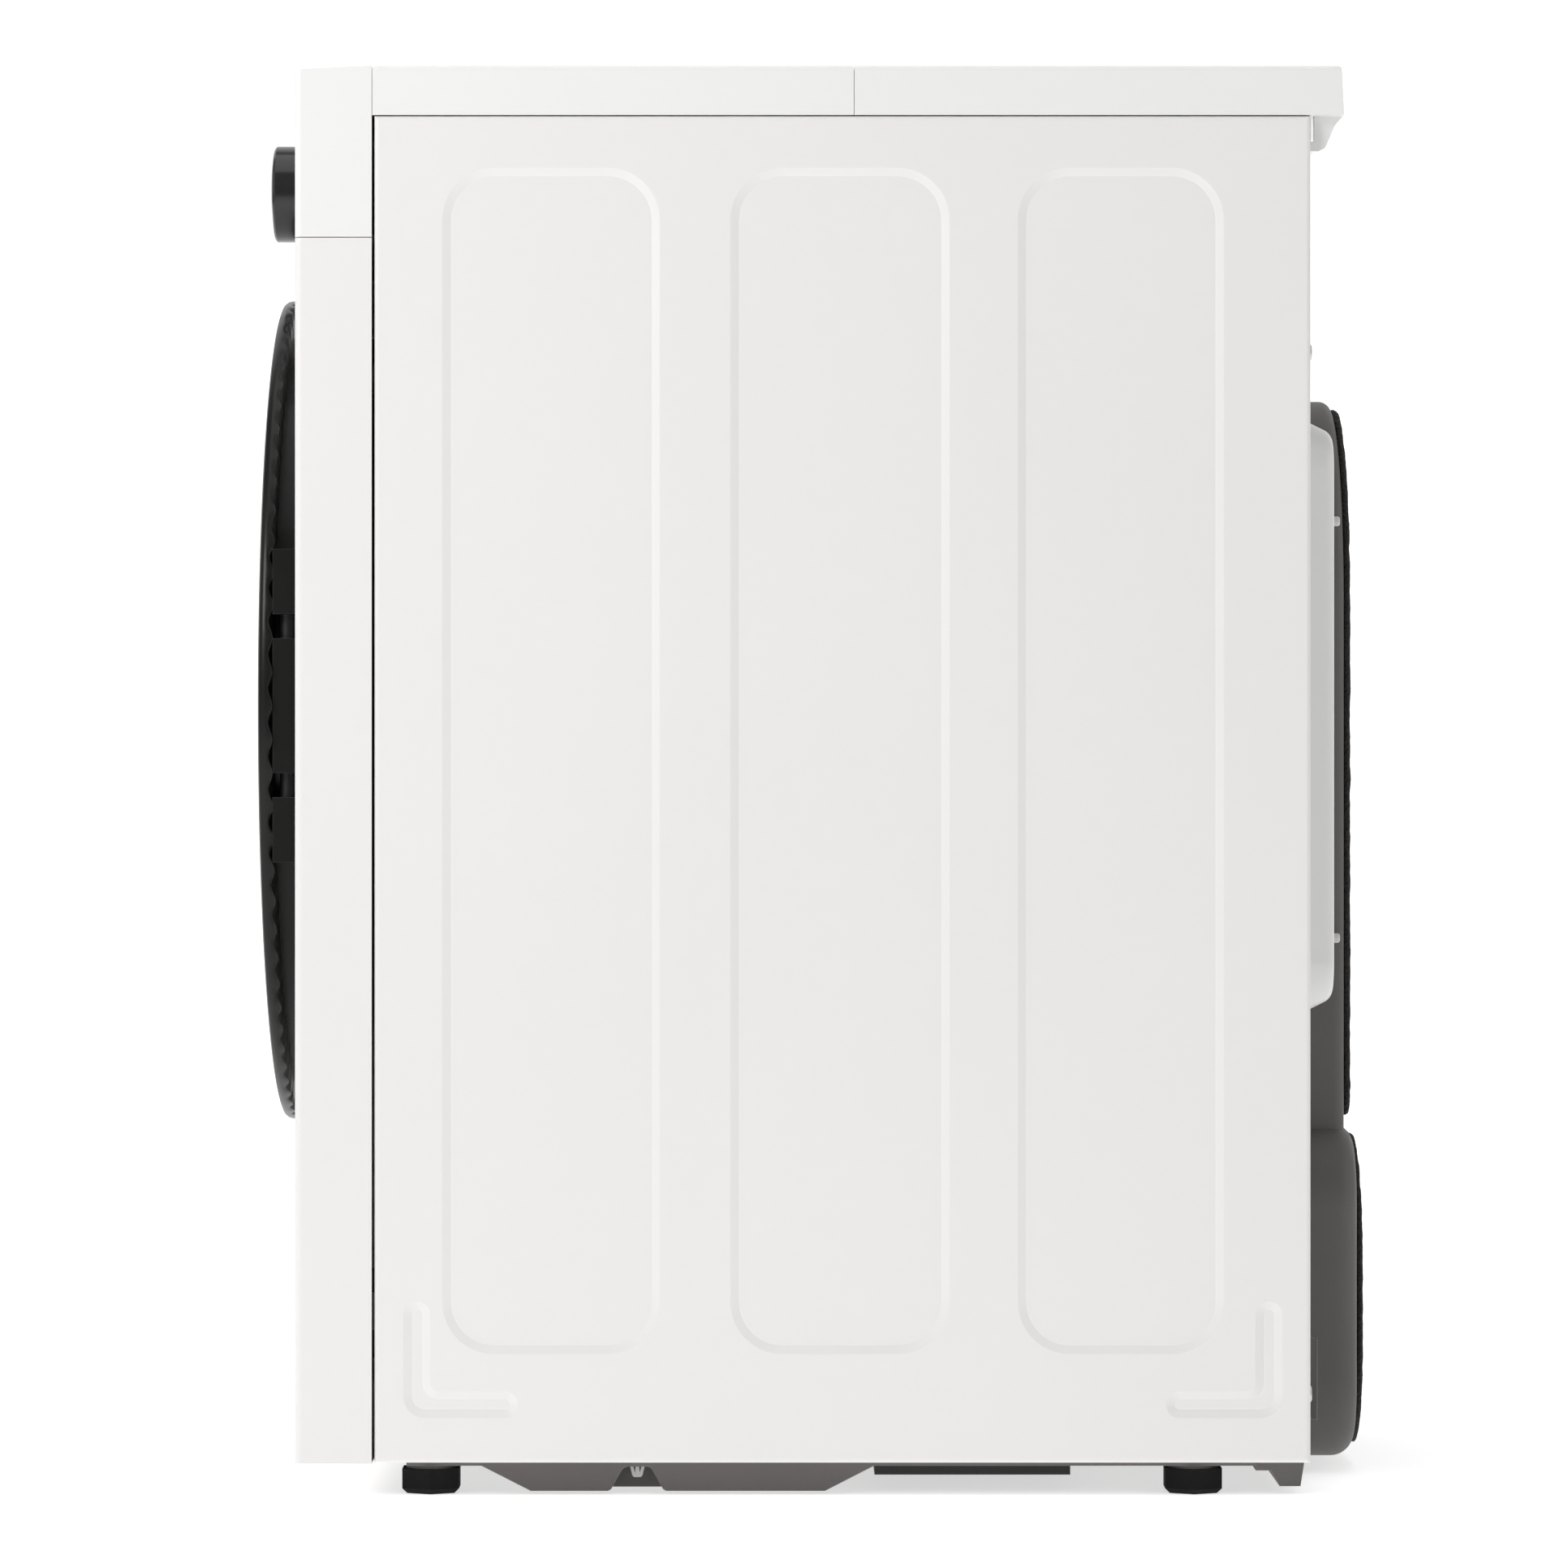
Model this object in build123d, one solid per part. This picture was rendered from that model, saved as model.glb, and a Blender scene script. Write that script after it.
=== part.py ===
from build123d import *
import math
import os

# A free-standing heat-pump clothes dryer. Millimetres, +Z up, front towards -Y.
# The origin is on the floor, under the middle of the whole machine.

# ---- overall sizes ----
WIDTH = 600.0             # outside of one side panel to the other
HEIGHT = 850.0            # floor to worktop
FRONT_Y = -306.0          # face of the front panel
CABINET_DEPTH = 602.5     # front face to the rear edge of the side panels
SHEET = 1.0               # cabinet steel
FIT = 0.05                # radial clearance of a running fit
GAP = 0.3                 # air between faces that pass each other

# ---- cabinet ----
HEAD_DEPTH = 45.7         # depth of the front panel's flanges and of the control panel
SEAM = 1.5                # gap between the front panel and the side panels
SIDE_BOTTOM = 21.4
TOP_THICK = 29.3
TOP_SEAM = 0.5
TOP_OVERHANG = 20.0
TOP_DRAFT = 1.5           # the rear edge leans in by this much at the top
TOP_SPLIT = 331.6         # front face to the joint of the two worktop mouldings
TOP_RIM = 28.0
TOP_EDGE_R = 2.5
BOARD_THICK = 22.0
PANEL_BOTTOM = 20.9
PANEL_TOP = 748.0
EDGE_R = 4.0
PANEL_BEND = 2.5          # outer bend of a side panel's edges
EMBOSS_DEPTH = 1.5
EMBOSS_SLOPE = 5.0
EMBOSS_R = 31.0
EMBOSS_BOTTOM = 85.9
EMBOSS_TOP_GAP = 30.8     # below the top edge of the side panel
EMBOSS_FIELDS = ((40.4, 129.0), (211.2, 130.0), (381.6, 122.2))  # start behind the front edge, width
CORNER_LEG = 16.0         # width of the L-shaped pressings' legs
CORNER_OUTER_R = 13.0
CORNER_INNER_R = 5.0

# ---- door ----
DOOR_Z = 471.0
MOUTH_R = 205.0
RING_R = 259.5
RING_HOLE_R = 176.0
RING_THICK = 9.0
RING_EDGE_R = 4.0
RING_STANDOFF = 16.3      # front face to the back of the ring
DOOR_FRAME_R = 236.0
DOOR_GAP = 2.5            # front face to the back of the door frame
DOOR_WALL = 2.5
BOWL_AIR = 27.0           # mouth to the clear bowl
BOWL_DEPTH = 55.5         # how far the bowl reaches behind the back of the frame
DOOR_SWING_X = 243.0      # hinge axis, right of the middle
DOOR_SWING_Y = 8.5        # hinge axis, ahead of the front face
PIN_R = 2.5
KNUCKLE_R = 4.25
KNUCKLE_H = 14.0
HINGE_SPACING = 47.6      # middle of the door to the middle of a knuckle
MIDDLE_BLOCK = 80.6
END_BLOCK = 39.0
BLOCK_GAP = 14.6
POCKET_HALF = 108.0
POCKET_DEPTH = 18.0
POCKET_LEFT = 29.0        # pocket's edges to the hinge axis
POCKET_RIGHT = 27.0
LATCH_X = -222.0

# ---- drum ----
DRUM_R = 275.0
DRUM_LENGTH = 460.0
DRUM_SETBACK = 85.0       # front face to the drum's front edge
DRUM_SHEET = 1.0
DRUM_LIP = 13.0
FELT_THICK = 6.6
LIFTER_H = 49.0
LIFTER_COUNT = 3
ROLLER_R = 30.0
ROLLER_W = 20.0
ROLLER_ANGLE = 35.0
SHAFT_R = 5.0

# ---- drive ----
MOTOR_X = 30.0
MOTOR_Z = 118.0
MOTOR_R = 55.0
MOTOR_LENGTH = 100.0
BELT_SETBACK = 131.0      # drum's rear edge to the front edge of the belt
BELT_TO_MOTOR = 31.0
MOTOR_SHAFT_R = 6.0
PULLEY_R = 9.0
BELT_W = 14.0
BELT_THICK = 2.5
IDLER_X = -45.0
IDLER_Z = 150.0
IDLER_R = 14.0
PIVOT_X = -20.0
PIVOT_Z = 75.0
PIVOT_R = 5.0
IDLER_PIN_R = 4.0
SPRING_POST_X = -100.0
BLOWER_R = 85.0

# ---- base ----
BASE_INSET = 28.0         # side panel's face to the base
BASE_WALL = 3.0
FLOOR_Z = 17.0
BASE_TOP = 75.0
SUMP_Z = 2.0
FOOT_INSET = 15.0         # side of the base to the middle of a foot
FOOT_H = 15.0
FOOT_FLATS = 34.0
STUD_R = 5.0
FOOT_FRONT = 79.0         # front face to the front feet
FOOT_REAR = 67.5          # rear edge of the side panels to the rear feet

EXCHANGER_X = (-236.0, -43.0)
COMPRESSOR_X = 165.0
COMPRESSOR_R = 62.0
COMPRESSOR_SETBACK = 226.0  # front face to the middle of the compressor

# ---- rear ----
BULGE_HALF = 202.0
BULGE_HEIGHT = 369.0
BULGE_R = 34.0
BULGE_DEPTH = 24.0
BULGE_SLOPE = 12.0        # how far the sides lean in over that depth
BULGE_Z = 465.5
BULGE_EDGE_R = 9.0
DUCT_Z = 467.0
AIR_HOLE_R = 120.0
COVER_HALF = 128.0
COVER_TOP = 667.0
COVER_BOTTOM = 8.0
COVER_DEPTH = 35.0
COVER_LOWER_HALF = 160.0
COVER_LOWER_R = 48.0
COVER_STEP_Z = 214.0
COVER_LOWER_DEPTH = 41.0
COVER_EDGE_R = 7.0
COVER_WALL = 2.5
PAD_THICK = 4.5
PAD_INSET = 9.0
CLIP_R = 6.0
CLIP_HEIGHTS = (329.0, 586.0)

# ---- controls and water tank ----
KNOB_Z = 799.0
KNOB_R = 30.5
KNOB_DEPTH = 35.0
FASCIA_WALL = 2.5
POWER_X = -62.0
START_X = 256.0
BUTTON_R = 9.0
WINDOW = (62.0, 228.0, 778.0, 820.0)
TANK_X = (-268.0, -106.0)
TANK_Z = (764.0, 812.0)
TANK_DEPTH = 424.0
TANK_WALL = 2.5
DRAWER_FRONT = (-290.0, -100.0, 758.0, 841.0)

# ---- worked out from the sizes above ----
HALF = WIDTH / 2
BASE_HALF = HALF - BASE_INSET
FOOT_X = BASE_HALF - FOOT_INSET
BOWL_R = MOUTH_R - BOWL_AIR
POCKET_X = (DOOR_SWING_X - POCKET_LEFT, DOOR_SWING_X + POCKET_RIGHT)
BACK_Y = FRONT_Y + CABINET_DEPTH
FLANGE_Y = FRONT_Y + HEAD_DEPTH
SIDE_FRONT_Y = FLANGE_Y + SEAM
SIDE_TOP = HEIGHT - TOP_THICK - TOP_SEAM
TOP_Z = HEIGHT - TOP_THICK
TOP_FRONT_Y = FLANGE_Y + GAP
TOP_BACK_Y = BACK_Y + TOP_OVERHANG
SPLIT_Y = FRONT_Y + TOP_SPLIT
EMBOSS_TOP = SIDE_TOP - EMBOSS_TOP_GAP
REAR_SHEET_Y = BACK_Y - 2 * SHEET
RING_BACK_Y = FRONT_Y - RING_STANDOFF
RING_FRONT_Y = RING_BACK_Y - RING_THICK
FRAME_BACK_Y = FRONT_Y - DOOR_GAP
HINGE_Y = FRONT_Y - DOOR_SWING_Y
POCKET_Y = FRONT_Y + POCKET_DEPTH
DRUM_FRONT_Y = FRONT_Y + DRUM_SETBACK
DRUM_BACK_Y = DRUM_FRONT_Y + DRUM_LENGTH
HUB_R = DRUM_R - DRUM_LIP - FELT_THICK - 2 * GAP
FELT_R = HUB_R + FELT_THICK
TUNNEL_R = MOUTH_R - 7.0
BULKHEAD_Y = SIDE_FRONT_Y + SHEET
REAR_BULKHEAD_Y = DRUM_BACK_Y + 8.0
ROLLER_ORBIT = DRUM_R + GAP + ROLLER_R
ROLLER_X = ROLLER_ORBIT * math.sin(math.radians(ROLLER_ANGLE))
ROLLER_Z = DOOR_Z - ROLLER_ORBIT * math.cos(math.radians(ROLLER_ANGLE))
ROLLER_Y = DRUM_BACK_Y - 30.0
BELT_Y = DRUM_BACK_Y - BELT_SETBACK
MOTOR_FRONT_Y = BELT_Y + BELT_TO_MOTOR
MOTOR_BACK_Y = MOTOR_FRONT_Y + MOTOR_LENGTH
FILTER_HALF = 100.0
FILTER_TOP = DOOR_Z - math.sqrt(TUNNEL_R ** 2 - FILTER_HALF ** 2)
FILTER_BOTTOM = 107.5
FEET = {
    "foot_front_left": (-FOOT_X, FRONT_Y + FOOT_FRONT),
    "foot_front_right": (FOOT_X, FRONT_Y + FOOT_FRONT),
    "foot_rear_left": (-FOOT_X, BACK_Y - FOOT_REAR),
    "foot_rear_right": (FOOT_X, BACK_Y - FOOT_REAR),
}
SCREW_X = HALF - 14.0
NOTCH_Y = FRONT_Y + 202.5
NOTCH_TOP = SUMP_Z + 14.5
SCREW_HEIGHTS = (SIDE_TOP * 0.0745, SIDE_TOP * 0.83)


def block(x, y, z):
    """A box between two values on each axis."""
    box = Box(x[1] - x[0], y[1] - y[0], z[1] - z[0])
    return Pos((x[0] + x[1]) / 2, (y[0] + y[1]) / 2, (z[0] + z[1]) / 2) * box


def rod_y(radius, x, z, y0, y1):
    """A round bar lying along Y."""
    return Pos(x, (y0 + y1) / 2, z) * Rot(90, 0, 0) * Cylinder(radius, y1 - y0)


def ring_y(outer, inner, x, z, y0, y1):
    """A flat ring or tube lying along Y."""
    return rod_y(outer, x, z, y0, y1) - rod_y(inner, x, z, y0 - 1, y1 + 1)


def rod_z(radius, x, y, z0, z1):
    """An upright round bar."""
    return Pos(x, y, (z0 + z1) / 2) * Cylinder(radius, z1 - z0)


def slab_y(sketch, y0, y1):
    """An outline drawn in X and Z, made solid from y0 to y1."""
    return Pos(0, y1, 0) * extrude(Plane.XZ * sketch, amount=y1 - y0)


def slab_x(sketch, x0, x1):
    """An outline drawn in Y and Z, made solid from x0 to x1."""
    return Pos(x0, 0, 0) * extrude(Plane.YZ * sketch, amount=x1 - x0)


def outline(*points):
    """A closed outline with straight sides."""
    return make_face(Polyline(*points, close=True))


def turned(points, x, z):
    """A profile of (radius, y) points turned about a line along Y."""
    return Pos(x, 0, z) * revolve(outline(*points), Axis.Y)


def rounded(width, height, radius, x, z):
    """A rounded rectangle about a middle point."""
    return Pos(x, z) * RectangleRounded(width, height, radius)


def dog_leg(y0, y1, z0, z1, leg):
    """An L outline with its corner at (y0, z0) and round ends at y1 and z1."""
    turn = 1 if y1 > y0 else -1
    inner = (y0 + turn * leg, z0 + leg)
    shape = outline((y0, z0), (y1, z0), (y1, inner[1]), inner, (inner[0], z1), (y0, z1))

    def near(point, shape):
        return shape.vertices().sort_by_distance((point[0], point[1], 0))[:1]

    for end in ((y1, z0), (y1, inner[1]), (inner[0], z1), (y0, z1)):
        shape = fillet(near(end, shape), leg / 2 - 0.1)
    shape = fillet(near((y0, z0), shape), CORNER_OUTER_R)
    return fillet(near(inner, shape), CORNER_INNER_R)


# ---- cabinet ----

def side_fields():
    """Outlines of the pressed fields of a side panel, in Y and Z."""
    fields = []
    for start, width in EMBOSS_FIELDS:
        y = SIDE_FRONT_Y + start + width / 2
        z = (EMBOSS_BOTTOM + EMBOSS_TOP) / 2
        fields.append(rounded(width, EMBOSS_TOP - EMBOSS_BOTTOM, EMBOSS_R, y, z))
    low = SIDE_BOTTOM + 26.5
    front = SIDE_FRONT_Y + 17.3
    rear = BACK_Y - 16.8
    fields.append(dog_leg(front, front + 67.9, low, low + 69.3, CORNER_LEG))
    fields.append(dog_leg(rear, rear - 68.9, low, low + 69.3, CORNER_LEG))
    return fields


def pressing(field, x, grow):
    """A field pressed inwards from the plane at x, with sloping sides."""
    slope = math.degrees(math.atan2(EMBOSS_SLOPE, EMBOSS_DEPTH))
    face = Plane.YZ.offset(x) * offset(field, amount=grow) if grow else Plane.YZ.offset(x) * field
    return extrude(face, amount=-EMBOSS_DEPTH, taper=slope)


def side_panel():
    """The right side panel: a sheet with four inward flanges, pressed fields and screw holes."""
    y = (SIDE_FRONT_Y, BACK_Y)
    z = (SIDE_BOTTOM, SIDE_TOP)
    tray = block((BASE_HALF, HALF), y, z)
    tray = fillet(tray.faces().sort_by(Axis.X)[-1].edges(), PANEL_BEND)
    inner = block((BASE_HALF - 1, HALF - SHEET), (y[0] + SHEET, y[1] - SHEET), (z[0] + SHEET, z[1] - SHEET))
    inner = fillet(inner.faces().sort_by(Axis.X)[-1].edges(), PANEL_BEND - SHEET)
    shell = tray - inner
    for field in side_fields():
        shell += pressing(field, HALF - SHEET, 0.6)
    for field in side_fields():
        shell -= pressing(field, HALF, 0)
    for height in SCREW_HEIGHTS:
        shell -= rod_y(1.9, SCREW_X, height, BACK_Y - 5, BACK_Y + 1)
    return shell


def front_panel():
    """The steel front: a tray open to the rear, with the mouth, the hinge pocket and the latch slot."""
    tray = block((-HALF, HALF), (FRONT_Y, FLANGE_Y), (PANEL_BOTTOM, PANEL_TOP))
    tray = fillet(tray.edges().filter_by(Axis.Z).sort_by(Axis.Y)[:2], EDGE_R)
    inner = block((-HALF + SHEET, HALF - SHEET), (FRONT_Y + SHEET, FLANGE_Y + 1),
                  (PANEL_BOTTOM + SHEET, PANEL_TOP - SHEET))
    inner = fillet(inner.edges().filter_by(Axis.Z).sort_by(Axis.Y)[:2], EDGE_R - SHEET)
    pocket_z = (DOOR_Z - POCKET_HALF, DOOR_Z + POCKET_HALF)
    pan = block((POCKET_X[0] - SHEET, POCKET_X[1] + SHEET), (FRONT_Y, POCKET_Y + SHEET),
                (pocket_z[0] - SHEET, pocket_z[1] + SHEET))
    shell = tray - inner + pan + rod_y(MOUTH_R + SHEET, 0, DOOR_Z, FRONT_Y, FRONT_Y + 10)
    shell -= rod_y(MOUTH_R, 0, DOOR_Z, FRONT_Y - 1, FRONT_Y + 11)
    shell -= block(POCKET_X, (FRONT_Y - 1, POCKET_Y), pocket_z)
    shell -= block((LATCH_X - 8, LATCH_X + 8), (FRONT_Y - 1, FRONT_Y + 5), (DOOR_Z - 18, DOOR_Z + 18))
    return shell


def control_panel():
    """The moulded control panel, open to the rear, with its holes."""
    profile = outline((FRONT_Y, PANEL_TOP + 0.5), (FLANGE_Y, PANEL_TOP + 0.5), (FLANGE_Y, HEIGHT),
                      (FRONT_Y + 3, HEIGHT - 1.9), (FRONT_Y, HEIGHT - 4.5))
    shell = slab_x(profile, -HALF, HALF)
    shell = fillet(shell.edges().filter_by(Axis.Z).sort_by(Axis.Y)[:2], EDGE_R)
    shell -= block((-HALF + FASCIA_WALL, HALF - FASCIA_WALL), (FRONT_Y + FASCIA_WALL, FLANGE_Y + 1),
                   (PANEL_TOP + 0.5 + FASCIA_WALL, HEIGHT - 5.5))
    shell -= block((DRAWER_FRONT[0] - 1, DRAWER_FRONT[1] + 1), (FRONT_Y - 1, FRONT_Y + 4),
                   (DRAWER_FRONT[2] - 1, DRAWER_FRONT[3] + 1))
    shell -= block(WINDOW[:2], (FRONT_Y - 1, FRONT_Y + 4), WINDOW[2:])
    shell -= rod_y(6.5, 0, KNOB_Z, FRONT_Y - 1, FRONT_Y + 4)
    for x in (POWER_X, START_X):
        shell -= rod_y(BUTTON_R + GAP, x, KNOB_Z, FRONT_Y - 1, FRONT_Y + 4)
    for x in (-HALF + 15, HALF - 45):
        shell += block((x, x + 30), (FLANGE_Y - 20, FLANGE_Y - 10), (PANEL_TOP, PANEL_TOP + 2))
    return shell


def display_window():
    """The dark pane in the control panel."""
    return block(WINDOW[:2], (FRONT_Y, FRONT_Y + FASCIA_WALL), WINDOW[2:])


def control_board():
    """The board behind the control panel with its selector and two button switches."""
    board = block((-84, HALF - 20), (FRONT_Y + 20, FRONT_Y + 26), (762, 834))
    board += block((-12, 12), (FRONT_Y + 11, FRONT_Y + 20), (KNOB_Z - 12, KNOB_Z + 12))
    for x in (POWER_X, START_X):
        board += block((x - 6, x + 6), (FRONT_Y + 9.5, FRONT_Y + 20), (KNOB_Z - 6, KNOB_Z + 6))
    for x in (-80, HALF - 30):
        board += block((x, x + 8), (FRONT_Y + FASCIA_WALL, FRONT_Y + 20), (766, 774))
    board -= rod_y(3 + FIT, 0, KNOB_Z, FRONT_Y + 10, FRONT_Y + 18)
    return board


def top_frame(y0, y1):
    """One worktop moulding between y0 and y1, with the seat for the board."""
    outer = y1 if y0 == SPLIT_Y + GAP else y0
    lean = TOP_DRAFT if outer == y1 else 0
    side = outline((y0, TOP_Z), (y1, TOP_Z), (y1 - lean, HEIGHT), (y0, HEIGHT))
    frame = slab_x(side, -HALF, HALF)
    top = frame.faces().sort_by(Axis.Z)[-1]
    joint = SPLIT_Y + GAP / 2
    frame = fillet([edge for edge in top.edges() if abs(edge.center().Y - joint) > 1], TOP_EDGE_R)
    seat = (y0 + TOP_RIM if outer == y0 else y0 - 1, y1 - TOP_RIM if outer == y1 else y1 + 1)
    ledge = (seat[0] + (10 if outer == y0 else 0), seat[1] - (10 if outer == y1 else 0))
    frame -= block((-HALF + TOP_RIM, HALF - TOP_RIM), seat, (HEIGHT - BOARD_THICK, HEIGHT + 1))
    frame -= block((-HALF + TOP_RIM + 10, HALF - TOP_RIM - 10), ledge, (TOP_Z - 1, HEIGHT))
    middle = (y0 + y1) / 2
    for x in (-HALF + 12, HALF - 24):
        frame += block((x, x + 12), (middle - 60, middle + 60), (SIDE_TOP, TOP_Z + 1))
    return frame


def top_panel():
    """The worktop board that lies in the two mouldings."""
    inset = TOP_RIM + GAP
    return block((-HALF + inset, HALF - inset), (TOP_FRONT_Y + inset, TOP_BACK_Y - inset),
                 (HEIGHT - BOARD_THICK, HEIGHT - 0.6))


def rear_top_brackets():
    """Two gussets that carry the worktop's rear overhang."""
    y = BACK_Y
    z = TOP_Z
    profile = outline((y, z), (y, z - 20.5), (y + 5.6, z - 20.5), (y + 9.3, z - 18.6), (y + 10.4, z - 16.5),
                      (y + 15.6, z - 4.4), (TOP_BACK_Y - 0.5, z), (y + 2.9, z), (y + 2.9, z - 15),
                      (y + 0.8, z - 15), (y + 0.8, z))
    return [slab_x(profile, x, x + 8) for x in (-HALF + 10, HALF - 18)]


def bulge(inset, y):
    """The rear panel's pressed bulge as a solid from y, its outline drawn in by inset."""
    sketch = rounded(2 * (BULGE_HALF - inset), BULGE_HEIGHT - 2 * inset, BULGE_R - inset, 0, BULGE_Z)
    slope = math.degrees(math.atan2(BULGE_SLOPE, BULGE_DEPTH))
    solid = extrude(Plane.XZ.offset(-y) * sketch, amount=-BULGE_DEPTH, taper=slope)
    return fillet(solid.faces().sort_by(Axis.Y)[-1].edges(), BULGE_EDGE_R - inset)


def rear_panel():
    """The rear sheet with its pressed bulge, air holes and screw holes."""
    sheet_y = (REAR_SHEET_Y, REAR_SHEET_Y + SHEET)
    panel = block((-HALF + PANEL_BEND, HALF - PANEL_BEND), sheet_y, (SIDE_BOTTOM + 2.6, SIDE_TOP - 2.6))
    panel += bulge(0, sheet_y[1])
    panel -= bulge(0.62 * SHEET, sheet_y[0])
    panel -= rod_y(AIR_HOLE_R, 0, DUCT_Z, sheet_y[0] - 1, sheet_y[1] + BULGE_DEPTH + 1)
    panel -= rod_y(60, MOTOR_X, MOTOR_Z, sheet_y[0] - 1, sheet_y[1] + 1)
    panel -= rod_y(7, -HALF + 60, SIDE_TOP - 60, sheet_y[0] - 1, sheet_y[1] + 1)
    for x in (-SCREW_X, SCREW_X):
        for height in SCREW_HEIGHTS:
            panel -= rod_y(1.9, x, height, sheet_y[0] - 1, sheet_y[1] + 1)
    return panel


def cover_solid(inset, start):
    """The duct cover's outer shape, drawn in by inset, from start to its two faces."""
    front = REAR_SHEET_Y + SHEET
    half = COVER_HALF - inset
    middle = COVER_TOP - COVER_HALF
    low = COVER_BOTTOM + 60
    tall = Pos(0, (low + middle) / 2) * Rectangle(2 * half, middle - low) + Pos(0, middle) * Circle(half)
    height = COVER_STEP_Z - COVER_BOTTOM - 2 * inset
    center = (COVER_STEP_Z + COVER_BOTTOM) / 2
    wide = rounded(2 * (COVER_LOWER_HALF - inset), height, COVER_LOWER_R - inset, 0, center)
    upper = slab_y(tall, start, front + COVER_DEPTH - inset)
    lower = slab_y(wide, start, front + COVER_LOWER_DEPTH - inset)
    edge_r = COVER_EDGE_R - inset
    upper = fillet(upper.faces().sort_by(Axis.Y)[-1].edges(), edge_r)
    lower = fillet(lower.faces().sort_by(Axis.Y)[-1].edges(), 2 * edge_r)
    return upper + lower


def rear_duct_cover():
    """The air duct's cover: round on top, wider and deeper below round the blower."""
    front = REAR_SHEET_Y + SHEET
    cover = cover_solid(0, front) - cover_solid(COVER_WALL, front - 1)
    return cover - bulge(-GAP, front + GAP) - bulge(-GAP, front - 5)


def duct_pads():
    """Two foam pads on the duct cover that keep the machine off the wall."""
    front = REAR_SHEET_Y + SHEET
    half = COVER_HALF - PAD_INSET
    middle = COVER_TOP - COVER_HALF
    low = COVER_STEP_Z + 4
    upper = Pos(0, (low + middle) / 2) * Rectangle(2 * half, middle - low)
    upper = fillet(upper.vertices().sort_by(Axis.Y)[:2], 20) + Pos(0, middle) * Circle(half)
    wide = 2 * (COVER_LOWER_HALF - 2 * PAD_INSET)
    height = COVER_STEP_Z - COVER_BOTTOM - 2 * PAD_INSET
    lower = rounded(wide, height, COVER_LOWER_R + 20, 0, (COVER_STEP_Z + COVER_BOTTOM) / 2)
    return [slab_y(upper, front + COVER_DEPTH, front + COVER_DEPTH + PAD_THICK),
            slab_y(lower, front + COVER_LOWER_DEPTH, front + COVER_LOWER_DEPTH + PAD_THICK)]


def nylon_clips():
    """Two push-in clips on the bulge, right of the duct cover, and one in each of the base's notches."""
    clips = []
    face = REAR_SHEET_Y + SHEET + BULGE_DEPTH
    x = COVER_HALF + CLIP_R + 2 * GAP
    for z in CLIP_HEIGHTS:
        stem = rod_y(CLIP_R - 3, x, z, face + 2, face + 7.5)
        stem = fillet(stem.edges().sort_by(Axis.Y)[-1], 1.5)
        clips.append(rod_y(CLIP_R, x, z, face, face + 2) + stem)
    top = NOTCH_TOP
    prongs = Pos(NOTCH_Y, top) * outline(
        (-4.5, 0), (-3, -6), (-2, -7), (2, -7), (3, -6), (4.5, 0), (2.6, 0), (1.4, -4.5), (1, 0), (-1, 0),
        (-1.4, -4.5), (-2.6, 0))
    for x in (-BASE_HALF + 8, BASE_HALF - 12):
        clips.append(slab_x(prongs, x, x + 4))
    return clips


def rear_screws():
    """Pan-head screws that hold the rear panel to the side panels' flanges."""
    screws = []
    for x in (-SCREW_X, SCREW_X):
        for height in SCREW_HEIGHTS:
            head = rod_y(5, x, height, BACK_Y, BACK_Y + 1.6)
            head = fillet(head.edges().sort_by(Axis.Y)[-1], 1.4)
            screws.append(head + rod_y(1.9, x, height, BACK_Y - 5, BACK_Y))
    return screws


def cord_gland():
    """The empty gland for the mains lead, high on the rear panel."""
    x = -HALF + 60
    z = SIDE_TOP - 60
    gland = rod_y(7, x, z, REAR_SHEET_Y - 4, REAR_SHEET_Y + SHEET) + rod_y(
        11, x, z, REAR_SHEET_Y + SHEET, REAR_SHEET_Y + SHEET + 14)
    return gland - rod_y(4, x, z, REAR_SHEET_Y - 5, REAR_SHEET_Y + SHEET + 15)


# ---- base ----

def base_profile(inset):
    """Side outline of the sump that hangs under the base, in Y and Z."""
    start = FRONT_Y + 109.5
    front = start + inset
    rear = start + 234.5 - inset
    return outline((front, FLOOR_Z + 4), (front, FLOOR_Z), (front + 29.5, SUMP_Z + inset),
                   (rear - 29.3, SUMP_Z + inset), (rear, FLOOR_Z), (rear, FLOOR_Z + 4))


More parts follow.
